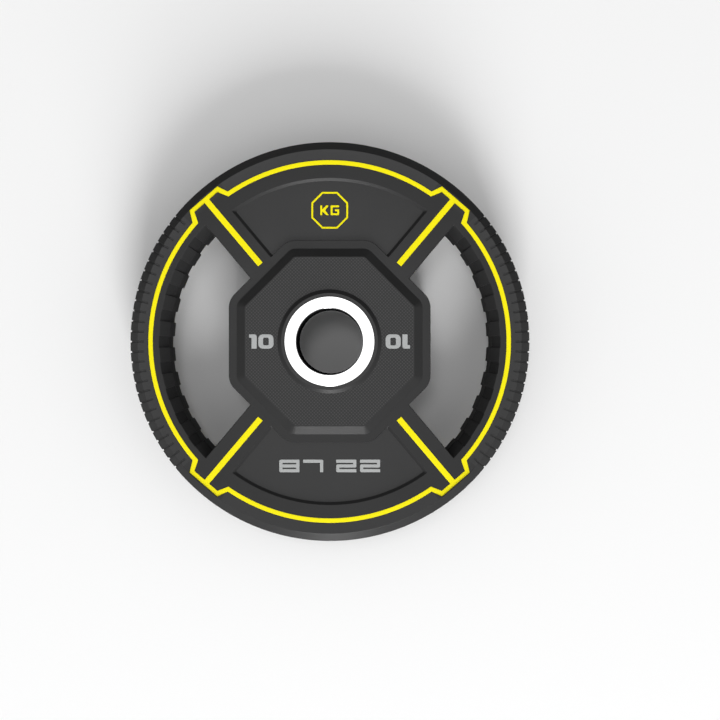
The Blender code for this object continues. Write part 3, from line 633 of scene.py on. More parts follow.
def rounded(points, radii, steps):
    """The outline with each corner rounded to its radius, where 0 keeps it sharp."""
    result = []
    for i, (point, radius) in enumerate(zip(points, radii)):
        if radius == 0:
            result.append(point)
            continue
        back = (points[i - 1] - point).normalized()
        ahead = (points[(i + 1) % len(points)] - point).normalized()
        half_angle = back.angle(ahead) / 2
        centre = point + (back + ahead).normalized() * (radius / math.sin(half_angle))
        first = point + back * (radius / math.tan(half_angle)) - centre
        turn = math.pi - 2 * half_angle
        if back.x * ahead.y - back.y * ahead.x > 0:
            turn = -turn
        start = math.atan2(first.y, first.x)
        result += arc(radius, start, start + turn, steps, centre)
    return result


def softened(points, radius, steps=FINE_EDGE_STEPS):
    """The outline with all its corners rounded, less where a neighbouring side is short."""
    radii = []
    for i, point in enumerate(points):
        back = points[i - 1] - point
        ahead = points[(i + 1) % len(points)] - point
        turn = math.pi - back.angle(ahead)
        if turn < CORNER_TURN:
            radii.append(0)
            continue
        reach = min(back.length, ahead.length) * CORNER_SHARE / math.tan(turn / 2)
        radii.append(min(radius, reach))
    return rounded(points, radii, steps)


def octagon_corner(apothem, rounding, start, end):
    """The octagon's rounded corner between the sides that face start and end."""
    centre = polar((apothem - rounding) / math.cos(SIXTEENTH), (start + end) / 2)
    return arc(rounding, start, end, OCTAGON_STEPS, centre)


def octagon(apothem, rounding):
    """A regular octagon with flats towards X and Y."""
    points = []
    for side in range(8):
        points += octagon_corner(apothem, rounding, side * EIGHTH, side * EIGHTH + EIGHTH)
    return points


# Wall profiles, whose points are (offset, height)

def section(points, radii, steps=EDGE_STEPS):
    """An open profile with its inner corners rounded."""
    return rounded([Vector(point) for point in points], [0, *radii, 0], steps)


def cutter_wall(points, radii, overcut, steps=EDGE_STEPS):
    """A cutter's wall that ends on the face, where its last rounding turns outwards and runs on past it."""
    x, y = points[-1]
    line = section([*points, (x + 1.0, y)], radii, steps)[:-1]
    before, end = line[-2:]
    line[-1] = before + (end - before) * ((end.y - before.y + overcut) / (end.y - before.y))
    return line


def raised_wall(foot, top, edge):
    """A sloping wall from its foot up to its top, rounded at both, with a root below the foot."""
    wall = section([(foot[0] + 1.0, foot[1]), foot, top, (top[0] - 1.0, top[1])], [edge, edge])
    wall[0] = wall[1] - Vector((0.0, OVERCUT))
    return wall[:-1]


def offset_at(wall, height):
    return float(np.interp(height, [p.y for p in wall], [p.x for p in wall]))


def heights_of(*walls):
    """All heights of the walls, from the lowest up, each once."""
    return sorted({round(p.y, HEIGHT_DIGITS) for wall in walls for p in wall})


# Meshes

def written(bm):
    """The mesh that a bmesh holds, which is freed."""
    mesh = bpy.data.meshes.new("shape")
    bm.to_mesh(mesh)
    bm.free()
    return mesh


def baked(bm):
    """The finished mesh of a bmesh, with its faces turned outwards."""
    bmesh.ops.recalc_face_normals(bm, faces=bm.faces)
    return written(bm)


def bridge(bm, first, second):
    """Faces between two loops with equally many corners."""
    for i, corner in enumerate(first):
        j = (i + 1) % len(first)
        bm.faces.new((corner, first[j], second[j], second[i]))


def solid(levels):
    """A closed mesh through levels of outlines, each level (height, loops), from the lowest up."""
    bm = bmesh.new()
    rings = []
    for height, loops in levels:
        rings.append([[bm.verts.new((p.x, p.y, height)) for p in loop] for loop in loops])
    for low, high in zip(rings, rings[1:]):
        for below, above in zip(low, high):
            bridge(bm, below, above)
    for level in (rings[0], rings[-1]):
        if len(level) == 1:
            bm.faces.new(level[0])
            continue
        corners = [corner for loop in level for corner in loop]
        for triangle in tessellate_polygon([[corner.co for corner in loop] for loop in level]):
            bm.faces.new([corners[i] for i in triangle])
    return baked(bm)


def round_solid(wall, steps):
    """A solid of revolution through (radius, height) points."""
    return solid([(height, [circle(radius, steps)]) for radius, height in wall])


def turned(profile, steps):
    """A closed ring of (radius, height) points turned about Z."""
    bm = bmesh.new()
    rings = []
    for radius, height in profile:
        rings.append([bm.verts.new((p.x, p.y, height)) for p in circle(radius, steps)])
    for i, ring in enumerate(rings):
        bridge(bm, ring, rings[(i + 1) % len(rings)])
    return baked(bm)


def joined(meshes, matrices=None):
    """Separate meshes in one, each moved by its matrix."""
    bm = bmesh.new()
    for i, mesh in enumerate(meshes):
        count = len(bm.verts)
        bm.from_mesh(mesh)
        bm.verts.ensure_lookup_table()
        if matrices:
            bmesh.ops.transform(bm, matrix=matrices[i], verts=bm.verts[count:])
    return written(bm)


def placed(name, data):
    """An object with the data, in the scene."""
    item = bpy.data.objects.new(name, data)
    bpy.context.scene.collection.objects.link(item)
    return item


def combined(mesh, other, operation):
    """The mesh joined with or cut by another."""
    item = placed("work", mesh)
    tool = placed("tool", other)
    boolean = item.modifiers.new("boolean", "BOOLEAN")
    boolean.operation = operation
    boolean.solver = "EXACT"
    boolean.object = tool
    bpy.context.view_layer.update()
    graph = bpy.context.evaluated_depsgraph_get()
    result = bpy.data.meshes.new_from_object(item.evaluated_get(graph))
    for thing in (item, tool):
        bpy.data.objects.remove(thing)
    return result


def shown(name, mesh, materials, node):
    """Put a finished piece on the plate in place of its CAD node."""
    bm = bmesh.new()
    bm.from_mesh(mesh)
    loose = [edge for edge in bm.edges if len(edge.link_faces) != 2]
    if loose:
        raise RuntimeError(f"{name} has {len(loose)} edges that don't join two faces")
    bm.free()
    mesh.name = name
    # Clearing the materials puts every face back to the first finish
    finish_numbers = [face.material_index for face in mesh.polygons]
    mesh.materials.clear()
    for material in materials:
        mesh.materials.append(material)
    mesh.polygons.foreach_set("material_index", finish_numbers)
    mesh.shade_smooth()
    mesh.set_sharp_from_angle(angle=SHARP_ANGLE)
    item = placed(name, mesh)
    weighting = item.modifiers.new("weighted_normals", "WEIGHTED_NORMAL")
    weighting.keep_sharp = True
    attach(item, BODY)
    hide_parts(node)


def lifted(mesh, plan, rear=False):
    """A copy of the mesh moved from the mid-plane to its place on the front or rear of the plate."""
    rise = Matrix.Translation((0.0, 0.0, plan.half))
    copy = mesh.copy()
    copy.transform(rise @ TO_REAR if rear else rise)
    return copy


def shown_twice(plan, mesh, name, materials, node):
    """Put a piece on the front of the plate and another on its rear."""
    for word, rear in (("front", False), ("rear", True)):
        shown(f"{word}_{name}", lifted(mesh, plan, rear), materials, f"{word}_{node}")


# Shader nodes

def feed(tree, node, inputs):
    """Give a node's inputs, by name or number, their values or the sockets that drive them."""
    for name, value in inputs.items():
        if isinstance(value, bpy.types.NodeSocket):
            tree.links.new(value, node.inputs[name])
        else:
            node.inputs[name].default_value = value


def add_node(tree, kind, inputs, **settings):
    """The outputs of a new node with these settings and inputs."""
    node = tree.nodes.new(kind)
    for name, value in settings.items():
        setattr(node, name, value)
    feed(tree, node, inputs)
    return node.outputs


def new_material(name, inputs):
    """A material, its node tree, its Principled shader with these inputs, and the place on the object."""
    material = bpy.data.materials.new(name)
    material.use_nodes = True
    tree = material.node_tree
    shader = tree.nodes["Principled BSDF"]
    feed(tree, shader, inputs)
    return material, tree, shader, add_node(tree, "ShaderNodeTexCoord", {})["Object"]


def mapped(tree, place, **settings):
    """The place turned or stretched, as the settings of a Mapping node say."""
    return add_node(tree, "ShaderNodeMapping", {"Vector": place, **settings})["Vector"]


def noise(tree, place, scale, detail=2.0, roughness=0.5):
    inputs = {"Vector": place, "Scale": scale, "Detail": detail, "Roughness": roughness}
    return add_node(tree, "ShaderNodeTexNoise", inputs)["Fac"]


def ramp(tree, value, low, high, start=NOISE_LOW, reach=NOISE_HIGH):
    """A number that runs from low to high as the value runs from its start to its reach."""
    inputs = {"Value": value, "From Min": start, "From Max": reach, "To Min": low, "To Max": high}
    return add_node(tree, "ShaderNodeMapRange", inputs)["Result"]


def product(tree, value, other):
    return add_node(tree, "ShaderNodeMath", {0: value, 1: other}, operation="MULTIPLY")["Value"]


def shaded(tree, factor, colour, low, high):
    """The colour times low where the factor is 0, running to the colour times high where it is 1."""
    dark, light = [(*[min(part * share, 1.0) for part in colour], 1.0) for share in (low, high)]
    inputs = {"Factor": factor, "A": dark, "B": light}
    return add_node(tree, "ShaderNodeMix", inputs, data_type="RGBA")["Result"]


def mottled(tree, value, colour, spread):
    """The colour, darkened and lightened by the spread as the value runs."""
    return shaded(tree, ramp(tree, value, 0.0, 1.0), colour, 1 - spread, 1 + spread)


def varied(tree, shader, value, colour, spread, smooth, rough):
    """Let the shader's colour and roughness follow the value."""
    roughness = ramp(tree, value, smooth, rough)
    feed(tree, shader, {"Base Color": mottled(tree, value, colour, spread), "Roughness": roughness})


def bumped(tree, shader, height, distance, strength=1.0, below=None):
    """A bump that lies over the one below, and drives the shader's normal."""
    inputs = {"Height": height, "Distance": distance, "Strength": strength}
    if below:
        inputs["Normal"] = below
    normal = add_node(tree, "ShaderNodeBump", inputs)["Normal"]
    feed(tree, shader, {"Normal": normal})
    return normal


def moulded(name, colour, roughness=JACKET_ROUGHNESS, specular=JACKET_SPECULAR, spread=0.08):
    """A moulded urethane with fine grain, faint flow marks and an uneven sheen."""
    material, tree, shader, place = new_material(name, {"Specular IOR Level": specular})
    flow = noise(tree, place, scale=28.0, detail=3.0)
    varied(tree, shader, flow, colour, spread, roughness - ROUGHNESS_SPREAD, roughness + ROUGHNESS_SPREAD)
    waves = bumped(tree, shader, noise(tree, place, scale=160.0), distance=0.00003)
    bumped(tree, shader, noise(tree, place, GRAIN_SCALE), GRAIN_HEIGHT, GRAIN_STRENGTH, waves)
    return material


def yellow_urethane(finishes, word):
    return moulded(f"yellow_urethane_{word}", finishes.yellow, roughness=0.5, specular=0.3, spread=0.02)


def meshed_urethane(finishes):
    """The plateau's urethane, with a fine woven mesh moulded into it, and painted shade in the mesh's hollows
    and painted highlight on its crossings.
    """
    material, tree, shader, place = new_material("meshed_urethane", {"Roughness": JACKET_ROUGHNESS})
    slanted = mapped(tree, place, Rotation=(0.0, 0.0, EIGHTH))
    wave = {"Vector": slanted, "Scale": WAVE_SCALE / finishes.mesh_pitch}
    across = add_node(tree, "ShaderNodeTexWave", wave, bands_direction="X")["Fac"]
    along = add_node(tree, "ShaderNodeTexWave", wave, bands_direction="Y")["Fac"]
    weave = product(tree, across, along)
    # Painted shade and highlight: the colour runs darker where the weave is low and lighter on its raised
    # crossings
    feed(tree, shader, {"Base Color": shaded(tree, weave, finishes.satin, low=0.57, high=2.3)})
    grain = bumped(tree, shader, noise(tree, place, GRAIN_SCALE), GRAIN_HEIGHT, GRAIN_STRENGTH)
    bumped(tree, shader, weave, distance=0.00006, strength=0.6, below=grain)
    return material


def turned_steel(finishes):
    """Polished stainless steel with the fine rings that a lathe leaves."""
    material, tree, shader, place = new_material("polished_flange", {"Metallic": 1.0})
    flat = add_node(tree, "ShaderNodeVectorMath", {0: place, 1: (1.0, 1.0, 0.0)}, operation="MULTIPLY")
    radius = add_node(tree, "ShaderNodeVectorMath", {0: flat["Vector"]}, operation="LENGTH")
    lathe = {"W": radius["Value"], "Scale": 5200.0, "Detail": 3.0}
    rings = add_node(tree, "ShaderNodeTexNoise", lathe, noise_dimensions="1D")["Fac"]
    varied(tree, shader, rings, finishes.steel, spread=0.012, smooth=0.10, rough=0.16)
    bumped(tree, shader, rings, distance=0.000002, strength=0.3)
    return material


def blackened_bore(finishes):
    """The bore's wall, painted near black and left without reflection as painted shade, lightly scored along
    its length by the bar.
    """
    material, tree, shader, place = new_material("blackened_bore", {"Specular IOR Level": 0.0})
    scoring = noise(tree, mapped(tree, place, Scale=(900.0, 900.0, 60.0)), scale=1.0, detail=3.0)
    varied(tree, shader, scoring, finishes.bore, spread=0.35, smooth=0.7, rough=0.9)
    bumped(tree, shader, scoring, distance=0.00001, strength=0.4)
    return material


def cast_iron(finishes):
    """Sand-cast grey iron with its rough skin."""
    material, tree, shader, place = new_material("sand_cast_iron", {"Metallic": 0.6})
    skin = noise(tree, place, scale=900.0, detail=4.0, roughness=0.65)
    blotches = noise(tree, place, scale=45.0, detail=3.0)
    feed(tree, shader, {"Base Color": mottled(tree, blotches, finishes.iron, spread=0.3),
                        "Roughness": ramp(tree, skin, low=0.6, high=0.85)})
    bumped(tree, shader, skin, distance=0.0002, strength=0.8)
    return material


def white_paper(studio):
    """The floor's matt white paper, with a faint tooth."""
    material, tree, shader, place = new_material("white_paper", {"Specular IOR Level": 0.0})
    tooth = noise(tree, place, scale=700.0)
    feed(tree, shader, {"Base Color": mottled(tree, tooth, studio.floor, spread=0.004), "Roughness": 0.9})
    return material


# Outlines of the openings and panels

def window_outline(plan, radius, grow, groove):
    """The right grip window, running anticlockwise from the lower spoke's outer end.

    grow widens it towards spokes and hub. groove is the depth of the grip grooves, 0 for none.
    """
    windows = plan.windows
    aside = windows.to_window - grow
    apothem = plan.hub_side - grow
    end = windows.spoke_angle - math.asin(aside / radius)
    points = arc(radius, -end, end, PANEL_STEPS)
    if groove:
        points = [polar(radius, -end)]
        last = -end
        for middle in both_ways(windows.reach, windows.pitch):
            low = middle - windows.groove_angle / 2
            high = low + windows.groove_angle
            points += arc(radius, last, low, BLOCK_STEPS)[1:]
            points += arc(radius + groove, low, high, GROOVE_STEPS)
            points.append(polar(radius, high))
            last = high
        points += arc(radius, last, end, BLOCK_STEPS)[1:]
    to_side = windows.spoke_angle - EIGHTH
    along = (apothem - aside * math.sin(to_side)) / math.cos(to_side)
    inner = [beside(windows.spoke_angle, along, aside)]
    inner += reversed(octagon_corner(apothem, plan.hub.corner, 0.0, EIGHTH))
    return softened(points + inner + mirrored_y(inner), windows.corner)


def panel_outline(plan, inset):
    """Upper fan panel, running anticlockwise from the right spoke. inset narrows it."""
    panels = plan.panels
    aside = panels.to_panel + inset
    apothem = plan.hub_side + inset * panels.hub_slope / panels.wall_slope
    radius = plan.panel_arc - inset
    angle = plan.windows.spoke_angle
    start = angle + math.asin(aside / radius)
    outer = arc(radius, start, math.pi - start, PANEL_STEPS)
    to_side = angle - EIGHTH
    along = (apothem + aside * math.sin(to_side)) / math.cos(to_side)
    inner = octagon_corner(apothem, plan.hub.corner, EIGHTH, math.pi / 2)[::-1]
    inner.append(beside(angle, along, -aside))
    return softened(outer + mirrored_x(inner) + inner, panels.corner)


# Outlines of the yellow line

def quarter_to_ring(quarter):
    """Repeat a quarter outline, which runs from the X axis to the Y axis, round the plate."""
    half = quarter + mirrored_x(quarter)[1:]
    return half[:-1] + mirrored_y(half)[:-1]


def line_quarter(ring, jog, feet, corners, normal, between):
    """A quarter of one edge of the line: the ring, the jog's foot and corners, and what lies between."""
    first, last = [polar(jog / math.cos(corner - normal), corner) for corner in corners]
    quarter = arc(ring, 0.0, feet[0], round(feet[0] / LINE_STEP)) + [first, *between, last]
    return quarter + arc(ring, feet[1], math.pi / 2, round((math.pi / 2 - feet[1]) / LINE_STEP))


def spoke_bar(plan):
    """The bar's outline, from the jog down towards the hub and back."""
    line = plan.line
    to_jog = line.bar_angle - line.jog_normal
    points = []
    for aside in (line.bar_to_window, line.bar_to_window - line.bar_width):
        along = (plan.jog_inner - aside * math.sin(to_jog)) / math.cos(to_jog)
        points.append(beside(line.bar_angle, along, aside))
        points.append(beside(line.bar_angle, plan.hub_side + line.bar_from_hub, aside))
    return [points[0], points[1], points[3], points[2]]


def line_loops(plan):
    """The line's outer edge and its inner one, which takes in the spoke bars."""
    line = plan.line
    outer = line_quarter(plan.line_outer, plan.jog_outer, line.jog_outer_foot, line.jog_outer_corner,
                         line.jog_normal, [])
    inner = line_quarter(plan.line_inner, plan.jog_inner, line.jog_inner_foot, line.jog_inner_corner,
                         line.jog_normal, spoke_bar(plan))
    return [quarter_to_ring(outer), quarter_to_ring(inner)[::-1]]


# Figures and letters, each a list of loops with its holes running clockwise

def figure(points, width, height, round_at=(), rounding=0.0):
    """An outline given in its own box and centred on the origin. round_at numbers its rounded corners."""
    corners = [Vector((x - width / 2, y - height / 2)) for x, y in points]
    radii = [rounding if i in round_at else 0 for i in range(len(corners))]
    return rounded(corners, radii, FIGURE_STEPS)


def block(width, height, rounding=0.0):
    """A rectangle about the origin."""
    corners = [(0, 0), (width, 0), (width, height), (0, height)]
    return figure(corners, width, height, range(4), rounding)


def figure_one(marks):
    width, height = marks.one_width, marks.numeral_height
    stem = width - marks.one_stem
    flag = height - marks.one_flag
    points = [(stem, 0), (width, 0), (width, height), (0, height), (0, flag), (stem, flag)]
    return [figure(points, width, height, (2,), marks.one_rounding)]


def figure_zero(marks):
    counter = block(*marks.zero_counter, marks.zero_counter_rounding)
    return [block(marks.zero_width, marks.numeral_height, marks.zero_rounding), counter[::-1]]


def figure_two(width, height, stroke):
    low, high = (height - stroke) / 2, (height + stroke) / 2
    right, top = width - stroke, height - stroke
    points = [(0, 0), (width, 0), (width, stroke), (stroke, stroke), (stroke, low), (width, low),
              (width, height), (0, height), (0, top), (right, top), (right, high), (0, high)]
    return [figure(points, width, height, (5, 6, 11), stroke / 2)]


def letter_l(width, height, stroke):
    points = [(0, 0), (width, 0), (width, stroke), (stroke, stroke), (stroke, height), (0, height)]
    return [figure(points, width, height, (0,), stroke / 2)]


def letter_b(width, height, stroke):
    counter = block(width - 2 * stroke, (height - 3 * stroke) / 2)[::-1]
    rise = Vector((0.0, (height - stroke) / 4))
    outer = figure([(0, 0), (width, 0), (width, height), (0, height)], width, height, (1, 2), stroke / 2)
    return [outer, moved(counter, rise), moved(counter, -rise)]


def letter_k(marks, width, height, stroke):
    low, high = (height - stroke) / 2, (height + stroke) / 2
    foot = width - stroke * marks.k_foot
    crotch = width / 2 + stroke * marks.k_crotch
    points = [(0, 0), (stroke, 0), (stroke, low), (foot, 0), (width, 0), (crotch, height / 2),
              (width, height), (foot, height), (stroke, high), (stroke, height), (0, height)]
    return [figure(points, width, height)]


def letter_g(width, height, stroke):
    low, high = (height - stroke) / 2, (height + stroke) / 2
    middle, right, top = width / 2, width - stroke, height - stroke
    points = [(0, 0), (width, 0), (width, high), (middle, high), (middle, low), (right, low),
              (right, stroke), (stroke, stroke), (stroke, top), (width, top), (width, height), (0, height)]
    return [figure(points, width, height, (0, 1, 11), stroke / 2)]


def row_of(glyphs, widths, spacings):
    """Glyphs set in a row that is centred on the origin."""
    x = -(sum(widths) + sum(spacings)) / 2
    row = []
    for glyph, width, spacing in zip(glyphs, widths, [*spacings, 0.0]):
        row.append([moved(loop, Vector((x + width / 2, 0.0))) for loop in glyph])
        x += width + spacing
    return row


def set_down(names, glyphs, centre, turn=0.0):
    """Glyphs turned and moved to their place on the plate, each with its piece's name."""
    place = Vector(centre)
    return [(name, [moved(loop, place, turn) for loop in glyph]) for name, glyph in zip(names, glyphs)]


def numerals(plan):
    """The weight in kilograms, upright on the left and turned half round on the right."""
    marks = plan.marks
    widths = [marks.one_width, marks.zero_width]
    row = row_of([figure_one(marks), figure_zero(marks)], widths, [marks.numeral_spacing])
    half = (sum(widths) + marks.numeral_spacing) / 2
    centre = plan.collar_foot + marks.numeral_from_collar + half
    left = set_down(["left_one", "left_zero"], row, (-centre, 0.0))
    return left + set_down(["right_one", "right_zero"], row, (centre, 0.0), math.pi)


def pound_mark(plan):
    """The weight in pounds, on the lower panel, reading from outside the plate."""
    marks = plan.marks
    size = marks.pound_letter
    glyphs = [figure_two(*size), figure_two(*size), letter_l(*size), letter_b(*size)]
    row = row_of(glyphs, [size[0]] * 4, [marks.pound_spacing, marks.pound_space, marks.pound_spacing])
    names = ["pound_first_two", "pound_second_two", "pound_l", "pound_b"]
    return set_down(names, row, (0.0, marks.pound_inwards - plan.panel_middle), math.pi)


def unit_badge(plan):
    """An octagonal line with the unit of weight in it, on the upper panel."""
    marks = plan.marks
    size = marks.unit_letter
    row = row_of([letter_k(marks, *size), letter_g(*size)], [size[0]] * 2, [marks.unit_spacing])
    outer, inner = [[polar(apothem / math.cos(SIXTEENTH), (i + 0.5) * EIGHTH) for i in range(8)]
                    for apothem in (marks.badge_apothem, marks.badge_apothem - marks.badge_line)]
    row.append([outer, inner[::-1]])
    centre = (0.0, plan.panel_middle - marks.badge_inwards)
    return set_down(["badge_k", "badge_g", "badge_ring"], row, centre)


# Inlays and their recesses

def inlaid_solid(wall, loops, corner):
    """A solid whose loops are moved sideways as the wall says at each height."""
    return solid([(p.y, [softened(grown(loop, p.x), corner) for loop in loops]) for p in wall])


def inlay_mesh(plan, loops, bed):
    """A flat inlay with softly rounded upper edges."""
    surface, depth, corner = bed
    wall = section([(0, surface - depth), (0, surface), (-1.0, surface)], [plan.marks.edge], FINE_EDGE_STEPS)
    return inlaid_solid(wall[:-1], loops, corner)


def recess_mesh(plan, loops, bed, rise=0.0):
    """The cutter of a recess, a joint wider than its inlay. It opens straight up through the rise."""
    surface, depth, corner = bed
    gap = plan.marks.gap
    wall = cutter_wall([(gap, surface - depth - gap), (gap, surface)], [plan.marks.edge], MARK_OVERCUT,
                       FINE_EDGE_STEPS)
    if rise:
        wall.append(wall[-1] + Vector((0.0, rise)))
    return inlaid_solid(wall, loops, corner)


def recesses(plan, pieces, bed):
    """The cutters of the recesses of several pieces, in one mesh."""
    return joined([recess_mesh(plan, loops, bed) for _, loops in pieces])


def lay_inlays(plan, pieces, bed, material):
    """Lay pieces, given as (name, loops), into both faces of the plate."""
    for name, loops in pieces:
        shown_twice(plan, inlay_mesh(plan, loops, bed), f"{name}_piece", [material], name)


# Body of the jacket, as an upper half that stands on the mid-plane

def disc_mesh(plan):
    """The plain disc with its rim wall, chamfer, band and face."""
    rim = plan.rim
    wall = section([
        (rim.radius, 0.0),
        (rim.radius, plan.rim_wall),
        (plan.band_outer, plan.face + rim.band_rise),
        (plan.band_inner, plan.face),
    ], [rim.wall_edge, rim.band_edge])
    return round_solid(wall, ROUND_STEPS)


def plateau_mesh(plan):
    """The raised octagon, whose corners open out towards the foot of its slope."""
    hub = plan.hub
    wall = raised_wall((plan.plateau_foot, plan.face), (plan.plateau, plan.plateau_top), hub.plateau_edge)
    levels = []
    for p in wall:
        share = min(max((p.y - plan.face) / hub.plateau_rise, 0.0), 1.0)
        corner = hub.plateau_foot_corner + (hub.plateau_corner - hub.plateau_foot_corner) * share
        levels.append((p.y, [octagon(p.x, corner)]))
    return solid(levels)


def collar_mesh(plan):
    """The urethane ring round the flange."""
    foot, top = (plan.collar_foot, plan.plateau_top), (plan.collar_lip, plan.collar_top)
    return round_solid(raised_wall(foot, top, plan.hub.collar_edge), HUB_STEPS)


def window_meshes(plan, grow=0.0, plain=False):
    """The cutters of both grip windows. Plain ones, for the casting, have no grooves and are grown wider."""
    windows = plan.windows
    depth = windows.chamfer_depth
    slope = windows.chamfer_width / depth
    lean = math.sqrt(1 + slope ** 2) - 1
    start = plan.face - depth - grow * lean / slope
    mouth = ((plan.face - start) * slope, plan.face)
    edges = [windows.foot_edge, windows.mouth_edge]
    grip = cutter_wall([(0, -OVERCUT), (0, start), mouth], edges, FACE_OVERCUT)
    edge = cutter_wall([(0, -OVERCUT), (0, plan.face)], [windows.side_edge], FACE_OVERCUT)
    outlines = []
    for height in heights_of(grip, edge):
        fall = min(max((height - plan.face + depth) / depth, 0.0), 1.0)
        groove = windows.groove_depth + (windows.groove_runout - windows.groove_depth) * fall
        radius = plan.grip + grow + offset_at(grip, height)
        widening = grow + offset_at(edge, height)
        outlines.append((height, window_outline(plan, radius, widening, 0.0 if plain else groove)))
    right = solid([(height, [outline]) for height, outline in outlines])
    left = solid([(height, [mirrored_x(outline)]) for height, outline in outlines])
    return [right, left]


def panel_mesh(plan, floor, inset):
    """The cutter of the upper fan panel, down to the floor, where its outline is inset."""
    panels = plan.panels
    mouth = (plan.face - floor) * (panels.wall_slope / panels.depth)
    wall = cutter_wall([(-mouth, floor), (0, floor), (mouth, plan.face)], [panels.edge] * 2, FACE_OVERCUT)
    return solid([(p.y, [panel_outline(plan, inset - p.x)]) for p in wall[1:]])


def rim_section(plan, depth):
    """The rim's section drawn in by a depth, closed outside the rim, as points (radius, height)."""
    rim = plan.rim
    chamfer_shift = depth * math.tan(SIXTEENTH)
    shallow = depth * rim.tread_runout if depth > 0 else depth
    outside = rim.radius + OVERCUT
    above = plan.face + rim.band_rise + OVERCUT
    start_rise = rim.band_rise * (plan.tread_start - plan.band_inner) / rim.band_width
    surface = section([
        (rim.radius - depth, -OVERCUT),
        (rim.radius - depth, plan.rim_wall - chamfer_shift),
        (plan.band_outer - chamfer_shift, plan.face + rim.band_rise - shallow),
        (plan.tread_start, plan.face - shallow + start_rise),
    ], [rim.wall_edge, rim.band_edge])
    closing = [(plan.tread_start, above), (outside, above), (outside, -OVERCUT)]
    return surface + [Vector(point) for point in closing]


def notch_mesh(plan):
    """One tread notch across the rim at +X, lofted along the rim with a rounded mouth and floor."""
    rim = plan.rim
    half, edge = rim.tread_width / 2, rim.tread_edge
    profile = [(0, -rim.tread_depth), (half - rim.tread_draft, -rim.tread_depth), (half, 0)]
    wall = cutter_wall(profile, [edge, edge], MARK_OVERCUT, FINE_EDGE_STEPS)[1:]
    bm = bmesh.new()
    rings = []
    for across, height in [(-p.x, p.y) for p in reversed(wall)] + [(p.x, p.y) for p in wall]:
        rings.append([bm.verts.new((p.x, across, p.y)) for p in rim_section(plan, -height)])
    for first, second in zip(rings, rings[1:]):
        bridge(bm, first, second)
    bm.faces.new(rings[0])
    bm.faces.new(rings[-1])
    return baked(bm)


def notch_meshes(plan):
    """The tread's notches on both sides, in one mesh."""
    turns = both_ways(plan.rim.tread_reach, plan.rim.tread_pitch)
    matrices = [Matrix.Rotation(side + turn, 4, "Z") for side in (0.0, math.pi) for turn in turns]
    return joined([notch_mesh(plan)] * len(matrices), matrices)


def anchor_meshes(plan, shrink):
    """The plugs of urethane that fill the casting's anchor holes."""
    casting = plan.casting
    rim_circle = plan.casting_rim - casting.rim_anchor_from_edge
    centres = []
    for turn in (0.0, math.pi):
        for way in (-1, 1):
            centres.append(polar(rim_circle, turn + way * casting.rim_anchor_angle))
            centres.append(polar(plan.panel_middle, turn + math.pi / 2 + way * casting.web_anchor_angle))
    plug = circle(casting.anchor_radius - shrink, ANCHOR_STEPS)
    outlines = [[moved(plug, centre)] for centre in centres]
    return [solid([(-2 * OVERCUT, outline), (plan.half, outline)]) for outline in outlines]


def hollow_mesh(plan):
    """The room for the casting, with the bore through the hub above it."""
    hub, casting = plan.hub, plan.casting
    grow = hub.gap
    boss = plan.half - hub.flange_thickness
    boss_radius = plan.flange + casting.boss_beyond_flange + grow
    hub_top = plan.plateau_top - casting.cover + grow
    disc = plan.face - casting.cover + grow
    rim = plan.casting_rim + grow
    hub_radius = plan.plateau - casting.hub_inside_plateau + grow
    chamfer = casting.chamfer + grow / 2
    mouth = cutter_wall([(plan.collar, boss), (plan.collar, plan.collar_top)], [hub.collar_mouth],
                        FACE_OVERCUT)
    profile = [
        (rim, -OVERCUT), (rim, disc - chamfer), (rim - chamfer, disc),
        (hub_radius + casting.hub_slope, disc), (hub_radius, hub_top),
        (boss_radius + casting.boss_slope, hub_top), (boss_radius, boss), *mouth,
    ]
    room = round_solid(profile, HUB_STEPS)
    cover = casting.cover - grow
    panel = panel_mesh(plan, plan.panel_floor - cover, plan.panels.wall_slope - cover)
    cuts = window_meshes(plan, cover, True)
    cuts.append(joined([panel, panel], [Matrix(), HALF_TURN]))
    room = combined(room, joined(cuts), "DIFFERENCE")
    return combined(room, joined(anchor_meshes(plan, grow)), "DIFFERENCE")


def recessed_panels(plan):
    """The cutters of both fan panels with the recesses for what is inlaid in them."""
    upper = panel_mesh(plan, plan.panel_floor, plan.panels.wall_slope)
    lower = joined([upper], [HALF_TURN])
    badge = recesses(plan, unit_badge(plan), plan.panel_bed)
    pounds = recesses(plan, pound_mark(plan), plan.panel_bed)
    return [combined(upper, badge, "UNION"), combined(lower, pounds, "UNION")]


def half_jacket(plan):
    """The upper half of the jacket as a closed solid on the mid-plane."""
    hub = combined(plateau_mesh(plan), collar_mesh(plan), "UNION")
    body = combined(disc_mesh(plan), hub, "UNION")
    line = recess_mesh(plan, line_loops(plan), plan.face_bed, plan.rim.band_rise)
    cuts = [hollow_mesh(plan), *window_meshes(plan), notch_meshes(plan), *recessed_panels(plan), line,
            recesses(plan, numerals(plan), plan.plateau_bed)]
    return combined(body, joined(cuts), "DIFFERENCE")


def on_band(plan, face):
    """Whether the face lies on the rim band, outside the line and its jogs."""
    middle = face.calc_center_median().to_2d()
    turn = math.atan2(abs(middle.y), abs(middle.x))
    first, last = plan.line.jog_outer_foot
    return (plan.band_inner < middle.length < plan.band_outer and abs(face.normal.z) > LEAST_LEVEL
            and not first < turn < last)


